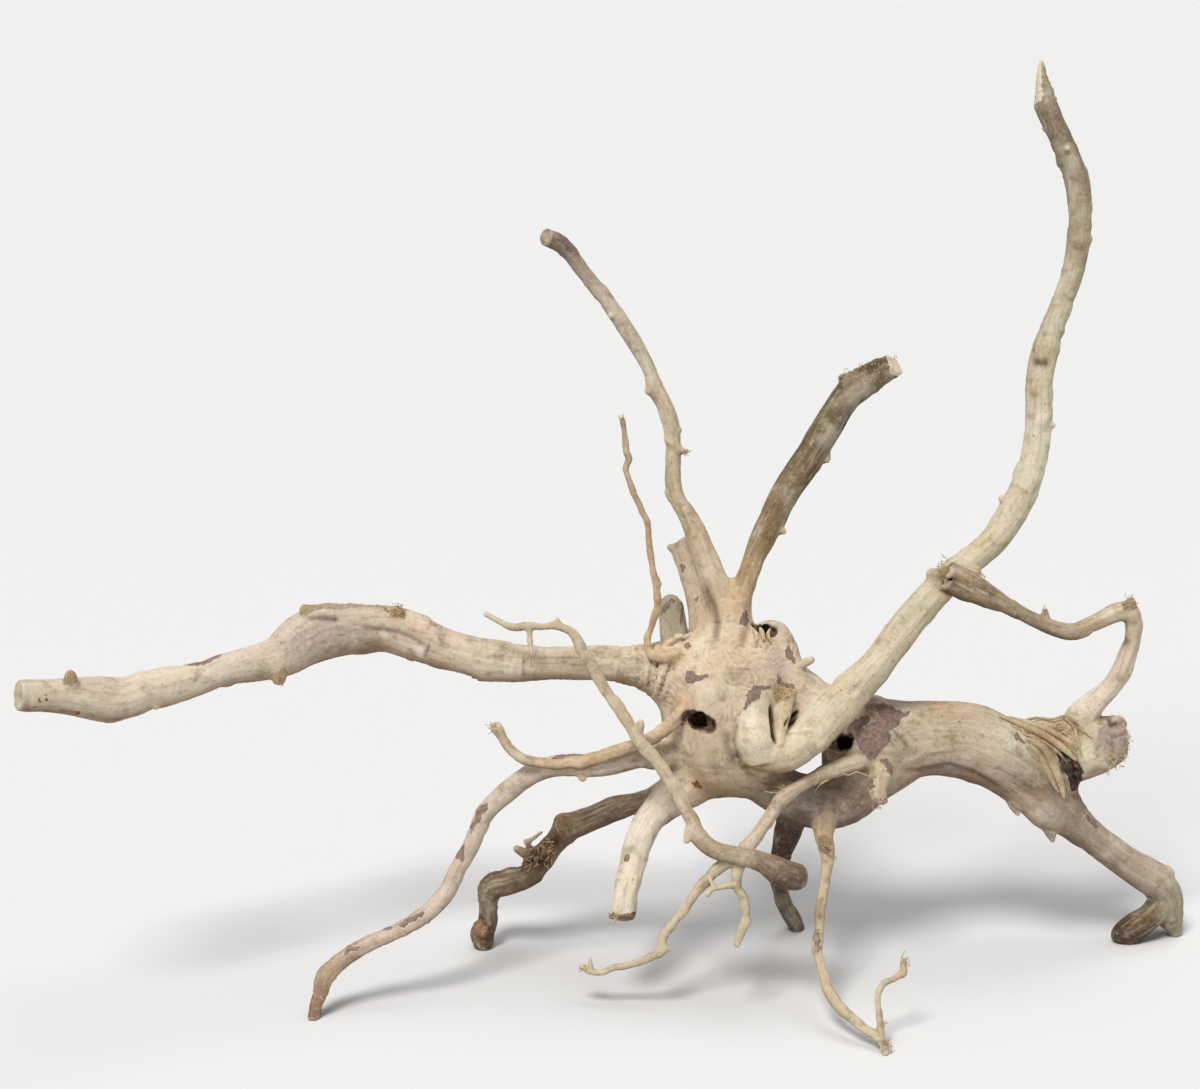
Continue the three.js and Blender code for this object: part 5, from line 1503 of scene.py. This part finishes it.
def build_wood_material():
    """Weathered wood: each branch's own tone, grain along it, stains, and marks with ragged edges, with
    painted shade on the undersides, in creases, grooves and pits.
    """
    n = Nodes("weathered_wood")
    place = n.tree.nodes.new("ShaderNodeTexCoord").outputs["Object"]
    grain = n.attribute("grain")["Vector"]
    clear = n.attribute("clear")["Fac"]
    bark, crumb, rust, dark = n.channels("marks")
    pale, knot, shade, crease = n.channels("wear_and_shade")
    paint = n.attribute("paint")
    colour = paint["Color"]

    clouds = n.noise(place, 24, 4)
    patches = n.noise(place, 60, 4, 0.6)
    speckle = n.noise(place, 260, 5, 0.7)
    noises = {"clouds": clouds, "drifts": n.noise(place, 15, 3), "patches": patches, "speckle": speckle}
    for name, low, high, strength, tone, how in WASHES:
        colour = n.mix(n.between(noises[name], low, high, 0, strength), colour, tone, how)

    # Grain along each branch, and small dark specks
    streaks = n.noise(grain, 230, 4, 0.62)
    fibres = n.noise(grain, 760, 3, 0.6)
    colour = n.mix(n.times(n.between(streaks, 0.50, 0.70), clear, 0.36), colour, SOIL_AND_SHADE_TONE, "MULTIPLY")
    colour = n.mix(n.times(n.between(streaks, 0.48, 0.32), clear, 0.24), colour, BLEACHED_TONE)
    colour = n.mix(n.times(n.between(fibres, 0.52, 0.72), clear, 0.28), colour, SHADE_AND_GRAIN_TONE, "MULTIPLY")
    dots = n.times(n.specks(place, 150, 0.34), n.between(clouds, 0.45, 0.6, 0.0, 0.4))
    colour = n.mix(dots, colour, SHADE_AND_GRAIN_TONE, "MULTIPLY")

    # Painted shade on the sides that face down, and the marks' edges are broken up by noise
    colour = n.mix(n.times(paint["Alpha"], 0.9), colour, SOIL_AND_SHADE_TONE, "MULTIPLY")
    ragged = n.times(n.add(n.noise(place, 170, 5, 0.65), -0.5), 1.1)
    fine_edge = n.times(n.add(n.noise(place, 620, 3), -0.5), 0.25)

    def mask(depth):
        """1 inside a mark, with a ragged edge."""
        return n.between(n.add(depth, ragged, fine_edge), -0.02, 0.03)

    mottle = n.noise(place, 300, 4, 0.6)
    colour = n.mix(mask(rust), colour, n.mix(n.between(patches, 0.4, 0.6), RUST_TONE, SOIL_AND_SHADE_TONE))
    bark_mask = mask(bark)
    rim = n.math("SUBTRACT", n.between(n.add(bark, ragged, fine_edge), -0.10, -0.02), bark_mask)
    colour = n.mix(n.times(rim, 0.45), colour, BLEACHED_TONE)
    colour = n.mix(n.times(bark_mask, 0.92), colour, n.mix(n.between(mottle, 0.35, 0.65), *BARK_TONES))
    pores = n.noise(place, 900, 3, 0.7)
    torn = n.add(crumb, n.times(n.add(n.noise(place, 66, 3), -0.5), 1.3))
    crumb_mask = mask(torn)
    crumbs = n.mix(1.0, paint["Color"], n.mix(n.between(pores, 0.42, 0.64), *CRUMB_TONES), "MULTIPLY")
    colour = n.mix(crumb_mask, colour, crumbs)
    colour = n.mix(n.times(mask(pale), 0.75), colour, PALE_TONE)

    # Painted shade in creases, drawn grooves, fold troughs and pits; paler ridges; darker knots
    colour = n.mix(n.times(n.between(crease, 0.05, 0.30), 0.75), colour, SHADE_AND_GRAIN_TONE, "MULTIPLY")
    colour = n.mix(n.times(n.between(crease, -0.05, -0.28), 0.30), colour, BLEACHED_TONE)
    colour = n.mix(n.between(knot, 0.35, 0.95, 0, 0.55), colour, SHADE_AND_GRAIN_TONE)
    colour = n.mix(n.between(shade, 0.12, 1.0, 0, 0.9), colour, SHADE_AND_GRAIN_TONE, "MULTIPLY")
    colour = n.mix(n.between(shade, 0.75, 1.6), colour, DEEP_SHADE_TONE)
    colour = n.mix(mask(dark), colour, DEEP_SHADE_TONE)
    n.put(colour, n.shader.inputs["Base Color"])
    n.put(n.between(bark_mask, 0, 1, 0.82, 0.66), n.shader.inputs["Roughness"])
    n.shader.inputs["Specular IOR Level"].default_value = 0.28

    along = n.times(n.add(n.times(streaks, 0.8), n.times(fibres, 0.45)), clear)
    grit = n.times(n.noise(place, 1100, 3, 0.6), n.add(0.25, n.times(crumb_mask, 1.6)))
    height = n.add(along, grit, n.times(bark_mask, 0.6), n.times(patches, 0.8), n.times(speckle, 0.5))
    n.put(n.bump(height, 0.9, 0.0009), n.shader.inputs["Normal"])
    return n.material


def build_fibre_material():
    """Torn fibres: dry straw-coloured threads, darker here and there."""
    n = Nodes("torn_fibre")
    place = n.tree.nodes.new("ShaderNodeTexCoord").outputs["Object"]
    clouds = n.between(n.noise(place, 40, 5, 0.6), 0.34, 0.68)
    specks = n.between(n.noise(place, 420, 4, 0.7), 0.48, 0.68, 0, 0.5)
    colour = n.mix(clouds, *STRAW_TONES)
    n.put(n.mix(specks, colour, STRAW_SPECK, "MULTIPLY"), n.shader.inputs["Base Color"])
    n.shader.inputs["Roughness"].default_value = 0.85
    n.shader.inputs["Specular IOR Level"].default_value = 0.2
    n.put(n.bump(n.noise(place, 1500, 2), 0.5, 0.0003), n.shader.inputs["Normal"])
    return n.material


# Meshes


def make_mesh(name, places, faces, material):
    """A smooth mesh object from places in millimetres and groups of faces. It rides on the body."""
    mesh = bpy.data.meshes.new(name)
    mesh.vertices.add(len(places))
    mesh.vertices.foreach_set("co", (places * MM).astype(np.float32).ravel())
    sizes = np.concatenate([np.full(len(group), group.shape[1]) for group in faces])
    corners = np.concatenate([group.ravel() for group in faces])
    mesh.loops.add(len(corners))
    mesh.loops.foreach_set("vertex_index", corners.astype(np.int32))
    mesh.polygons.add(len(sizes))
    starts = np.concatenate([[0], np.cumsum(sizes)[:-1]])
    mesh.polygons.foreach_set("loop_start", starts.astype(np.int32))
    mesh.polygons.foreach_set("use_smooth", np.ones(len(sizes), bool))
    mesh.update(calc_edges=True)
    mesh.materials.append(material)
    obj = bpy.data.objects.new(name, mesh)
    bpy.context.scene.collection.objects.link(obj)
    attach(obj, BODY)
    return obj


def set_attribute(obj, name, kind, *columns):
    """Keeps numbers at each place of a mesh, for its material."""
    attribute = obj.data.attributes.new(name, kind, "POINT")
    key = {"FLOAT": "value", "FLOAT_VECTOR": "vector", "FLOAT_COLOR": "color"}[kind]
    attribute.data.foreach_set(key, np.column_stack(columns).astype(np.float32).ravel())


def build_wood(name, low, high, routes, nubs, hollows, material):
    """One region of the wood. Returns the object, and its places as the sheet shows them."""
    places, faces, edges = build_region(low, high, routes, nubs, hollows)
    normals = face_normals_at(places, faces)
    wood = wood_relief(places, routes + nubs)
    canvas = Canvas(places, normals, wood["owner"], [route.name for route in routes])
    depth = mark_depths(places, canvas)
    press_marks(places, canvas, wood, depth)
    stain_and_shade(places, canvas, wood)
    # The hollows' inside is painted darker: partly their own wood, partly painted shade
    inside = hollow_share(places, hollows)[:, None]
    wood["paint"] = wood["paint"] * (1 - inside) + np.array(HOLLOW_WOOD_AND_SHADE_TONE) * inside
    places = places + normals * wood["relief"][:, None]
    places[:, 2] = np.maximum(places[:, 2], 0.0)
    # How far each place sinks into a crease, for the painted shade in the creases
    crease = ((neighbour_mean(places, edges) - places) * normals).sum(1)
    for _ in range(2):
        crease = neighbour_mean(crease, edges)
    marks = {kind: np.clip(depth[kind] / EDGE_REACH, -1, 1) for kind in MARK_KINDS}
    obj = make_mesh(name, places, [faces], material)
    set_attribute(obj, "grain", "FLOAT_VECTOR", wood["grain"] * MM)
    set_attribute(obj, "clear", "FLOAT", wood["clear"])
    # The paint's alpha is how far each place faces down: it carries the painted shade of the undersides
    set_attribute(obj, "paint", "FLOAT_COLOR", wood["paint"], ramp(-normals[:, 2], 0.05, 0.95))
    set_attribute(obj, "marks", "FLOAT_COLOR", marks["bark"], marks["crumb"], marks["rust"], marks["dark"])
    set_attribute(obj, "wear_and_shade", "FLOAT_COLOR", marks["pale"], wood["knot"], wood["shade"], crease)
    return obj, np.column_stack([to_sheet(places), canvas.facing])


# Torn fibres


def sweep(route, sides):
    """A closed tube along a route, with a point at each end."""
    turns = 2 * math.pi * np.arange(sides) / sides
    around = (np.cos(turns)[None, :, None] * route.across[:, None]
              + np.sin(turns)[None, :, None] * route.beside[:, None])
    rings = route.centre[:, None] + route.radius[:, None, None] * around
    count = len(route.centre)
    tips = route.centre[[0, -1]] + route.along[[0, -1]] * route.radius[[0, -1], None] * [[-1], [1]]
    places = np.vstack([rings.reshape(-1, 3), tips])
    here = np.arange(sides)
    there = (here + 1) % sides
    ring = np.column_stack([here, there, there + sides, here + sides])
    quads = [ring + k * sides for k in range(count - 1)]
    last = (count - 1) * sides
    start = np.column_stack([there, here, np.full(sides, count * sides)])
    end = np.column_stack([here + last, there + last, np.full(sides, count * sides + 1)])
    return places, np.vstack(quads), np.vstack([start, end])


class Skin:
    """What the viewer sees of the wood, to lay threads on it: the front-most place at each drawn spot."""

    def __init__(self, seen):
        seen = seen[seen[:, 3] > -0.2]
        self.seen = seen[np.argsort(seen[:, 0])]

    def forward(self, across, down, default):
        """How far forward the wood is at a drawn spot, or the default beside it."""
        first, last = np.searchsorted(self.seen[:, 0], (across - SKIN_REACH, across + SKIN_REACH))
        near = self.seen[first:last]
        near = near[np.abs(near[:, 1] - down) < SKIN_REACH]
        return near[:, 2].max() if len(near) else default


def lay(skin, points):
    """Drawn points (across, down, lift, radius) as a route on the wood, which runs on free beside it."""
    forward = 0.0
    found = []
    for across, down, lift, radius in points:
        forward = skin.forward(across, down, forward)
        found.append((across, down, forward + lift, radius))
    return found


def draw_fray(skin, row, draw):
    """Short curved threads that stand out of one torn place."""
    (across, down, reach), count, length, toward = row
    threads = []
    for _ in range(count):
        start = np.array([across, down]) + draw.uniform(-1, 1, 2) * reach
        forward = skin.forward(start[0], start[1], None)
        if forward is None:
            continue
        heading = np.array([*toward, 0.25]) + draw.normal(0, 0.45, 3)
        heading /= np.linalg.norm(heading)
        bend = draw.normal(0, 0.5, 3)
        size = length * draw.uniform(0.4, 1.15)
        radius = draw.uniform(0.2, 0.46)
        thread = []
        for t in (-0.15, 0.2, 0.6, 1):
            spot = np.array([*start, forward]) + (heading * t + bend * t * t) * size
            thread.append((*spot, radius * (1 - 0.65 * t)))
        threads.append(thread)
    return threads


# How far round a drawn spot the wood is looked for, to lay a thread on it
SKIN_REACH = 2.5

# Torn places: middle (across, down) and half size, number of threads, their length and direction
FRAYS = [
    ((1130, 602, 7), 22, 2.4, (0.4, -0.6)),
    ((1118, 762, 11), 60, 2.6, (0.5, 0.9)),
    ((1134, 740, 10), 50, 2.2, (0.9, 0.1)),
    ((1124, 718, 8), 26, 2.2, (0.4, -0.8)),
    ((944, 564, 7), 22, 2.2, (-0.3, -0.7)),
    ((982, 574, 5), 12, 2, (0.1, -1.0)),
    ((780, 691, 11), 44, 3, (0.0, -1.0)),
    ((776, 786, 7), 16, 13, (-1.0, 0.1)),
    ((826, 852, 9), 18, 5, (0.3, 0.5)),
    ((494, 728, 5), 26, 3, (-0.6, -0.5)),
    ((686, 452, 3), 16, 3, (1.0, 0.2)),
    ((862, 368, 18), 60, 2.2, (-0.3, -0.8)),
    ((898, 354, 6), 24, 3, (0.5, -0.7)),
    ((278, 680, 5), 14, 2.5, (0.0, 0.8)),
    ((71, 676, 5), 18, 2.5, (0.0, -0.8)),
    ((397, 608, 6), 30, 2.5, (0.1, -0.9)),
    ((1040, 742, 16), 40, 6, (0.7, 0.5)),
    ((1066, 732, 12), 30, 5, (0.6, -0.2)),
    ((540, 852, 14), 40, 5, (-0.4, 0.5)),
    ((480, 926, 8), 20, 3.5, (-0.5, -0.3)),
    ((878, 803, 6), 26, 2.5, (0.1, 0.9)),
    ((762, 640, 8), 14, 2.2, (0.0, 0.8)),
    ((886, 1044, 5), 22, 4.5, (0.3, 0.8)),
    ((883, 1024, 4), 14, 4, (0.9, -0.3)),
    ((906, 962, 5), 22, 4, (0.2, -0.8)),
    ((583, 968, 3), 12, 3, (-0.7, 0.2)),
    ((530, 656, 3), 10, 3.5, (0.0, 1.0)),
    ((622, 420, 2), 8, 3, (0.0, -1.0)),
    ((614, 916, 5), 14, 3.5, (-0.6, 0.6)),
    ((1045, 612, 3), 16, 2.5, (0.0, -1.0)),
]

# Single threads, roots and strips that lie on the wood: drawn points (across, down, lift, radius).
# Those of SHORT_THREAD points, and the threads of the torn places, take fewer sides.
SHORT_THREAD = 4
THREADS = [
    [(1022, 721, 0.5, 1.4), (1036, 718, 2, 1.5), (1052, 719, 4, 1.3), (1066, 716, 5, 1.4),
     (1076, 722, 5, 1.3), (1085, 731, 3, 1.2), (1092, 738, 0.5, 1.1)],
    [(1062, 716, 4, 1.0), (1074, 728, 3, 1.0), (1078, 742, 2, 1.0), (1082, 756, 0.5, 0.8)],
    [(1027, 739, -1, 2.2), (1041, 745, -1.6, 4.6), (1050, 757, -1.8, 5.2), (1056, 772, -1.6, 4.8),
     (1061, 786, -1, 3.8), (1064, 798, -0.2, 1.6)],
    [(1030, 744, -0.8, 2.0), (1041, 757, -1.6, 3.6), (1049, 774, -1.4, 3.2), (1058, 792, -0.4, 1.4)],
    [(1000, 716, -0.6, 1.4), (1022, 725, -1.0, 3.2), (1044, 735, -0.6, 3.8), (1062, 747, -0.4, 3.4),
     (1076, 760, -0.4, 1.6)],
    [(1008, 717, -0.6, 1.4), (1032, 724, -0.6, 3.2), (1052, 732, -0.2, 3.4), (1072, 743, -0.6, 2.2)],
    [(1024, 734, -0.4, 1.0), (1042, 741, 0.4, 1.6), (1058, 752, 0.4, 1.4), (1068, 764, 0.2, 0.8)],
    [(840, 772, 0.2, 0.5), (848, 775, 2, 0.6), (857, 772, 3, 0.6), (868, 776, 1, 0.5),
     (876, 777, 0, 0.4)],
    [(828, 780, 0.3, 0.8), (822, 783, 3, 0.8), (816, 790, 5, 0.7), (812, 799, 6, 0.4)],
    [(784, 786, 0.3, 0.9), (776, 782, 3, 0.7), (768, 780, 5, 0.5), (762, 781, 6, 0.3)],
    [(784, 790, 0.3, 0.9), (774, 790, 3, 0.7), (765, 793, 5, 0.5)],
    [(753, 629, -1.0, 1.0), (756, 634, -0.4, 2.0), (757, 641, -1.0, 1.2)],
    [(760, 628, -1.4, 1.4), (762, 633, -0.6, 2.8), (764, 640, -1.0, 1.6)],
    [(770, 629, -1.0, 1.0), (768, 635, -0.4, 2.0), (770, 641, -1.0, 1.0)],
]


def build_fibres(skin, material):
    """Every torn fibre and loose root thread, as closed tubes in one object."""
    draw = np.random.default_rng(7)
    rows = [lay(skin, points) for points in THREADS]
    for row in FRAYS:
        rows += draw_fray(skin, row, draw)
    places, quads, triangles = [], [], []
    total = 0
    for points in rows:
        short = len(points) == SHORT_THREAD
        route = Route("thread", "round", "round", points, 1.2 if short else 1.5, 2.0, 1.0, False)
        spots, four, three = sweep(route, 5 if short else 9)
        places.append(spots)
        quads.append(four + total)
        triangles.append(three + total)
        total += len(spots)
    places = np.vstack(places)
    places[:, 2] = np.maximum(places[:, 2], 0.4)
    return make_mesh("torn_fibres", places, [np.vstack(quads), np.vstack(triangles)], material)


# Stage


def build_stage():
    """A wide, level, pale floor."""
    half = 40.0
    corners = [(x * half, y * half, 0) for x, y in ((-1, -1), (1, -1), (1, 1), (-1, 1))]
    mesh = bpy.data.meshes.new("floor")
    mesh.from_pydata(corners, [], [(0, 1, 2, 3)])
    material = bpy.data.materials.new("floor_white")
    material.use_nodes = True
    shader = material.node_tree.nodes["Principled BSDF"]
    shader.inputs["Base Color"].default_value = (0.76, 0.76, 0.76, 1)
    shader.inputs["Roughness"].default_value = 0.9
    mesh.materials.append(material)
    floor = bpy.data.objects.new("floor", mesh)
    bpy.context.scene.collection.objects.link(floor)


def add_light(name, place, softness, strength, colour=(1, 1, 1)):
    """A far light that shines from a place towards the object. Its softness is its width in degrees."""
    lamp = bpy.data.lights.new(name, "SUN")
    lamp.angle = math.radians(softness)
    lamp.energy = strength
    lamp.color = colour
    obj = bpy.data.objects.new(name, lamp)
    obj.location = place
    obj.rotation_euler = (-Vector(place)).to_track_quat("-Z", "Y").to_euler()
    bpy.context.scene.collection.objects.link(obj)


def build_camera():
    """The photo's view: in front of the sheet's middle, looking down on it by its lean."""
    camera = bpy.data.cameras.new("camera")
    camera.sensor_width = 36.0
    camera.lens = camera.sensor_width * EYE / PICTURE_WIDTH
    camera.clip_end = 50.0
    obj = bpy.data.objects.new("camera", camera)
    obj.location = (SHEET_MIDDLE + SHEET_FACING * EYE) * MM
    obj.rotation_euler = (math.pi / 2 - LEAN, 0, 0)
    bpy.context.scene.collection.objects.link(obj)
    bpy.context.scene.camera = obj


def build_world():
    """Soft light from all round, brightest at the horizon, where it meets the floor."""
    world = bpy.data.worlds.new("studio")
    world.use_nodes = True
    nodes, links = world.node_tree.nodes, world.node_tree.links
    background = nodes["Background"]
    background.inputs["Color"].default_value = (0.97, 0.98, 1.0, 1)
    split = nodes.new("ShaderNodeSeparateXYZ")
    links.new(nodes.new("ShaderNodeTexCoord").outputs["Generated"], split.inputs["Vector"])
    fade = nodes.new("ShaderNodeMapRange")
    fade.interpolation_type = "SMOOTHSTEP"
    links.new(split.outputs["Z"], fade.inputs["Value"])
    horizon, high_up = (0.03, 0.86), (0.24, 0.22)
    for which, (height, strength) in (("Min", horizon), ("Max", high_up)):
        fade.inputs["From " + which].default_value = height
        fade.inputs["To " + which].default_value = strength
    links.new(fade.outputs["Result"], background.inputs["Strength"])
    bpy.context.scene.world = world
    bpy.context.scene.view_settings.view_transform = "Standard"


build_camera()
build_world()
build_stage()
add_light("key", (-0.8, -1.2, 2.65), 20, 2.35, (1.0, 0.985, 0.965))
add_light("top", (0.6, 0.5, 2.7), 38, 0.95)

wood_material = build_wood_material()
routes = [Route(*row) for row in ROUTES]
nubs = [Route(name, "sunk", "round", [start, end]) for name, start, end in NUBS]
hollows = [Route(name, "sunk", "round", points) for name, points in HOLLOWS]
seen = []
for name, low, high in REGIONS:
    obj, sheet = build_wood(name, low, high, routes, nubs, hollows, wood_material)
    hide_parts(NODE)
    seen.append(sheet)
build_fibres(Skin(np.vstack(seen)), build_fibre_material())
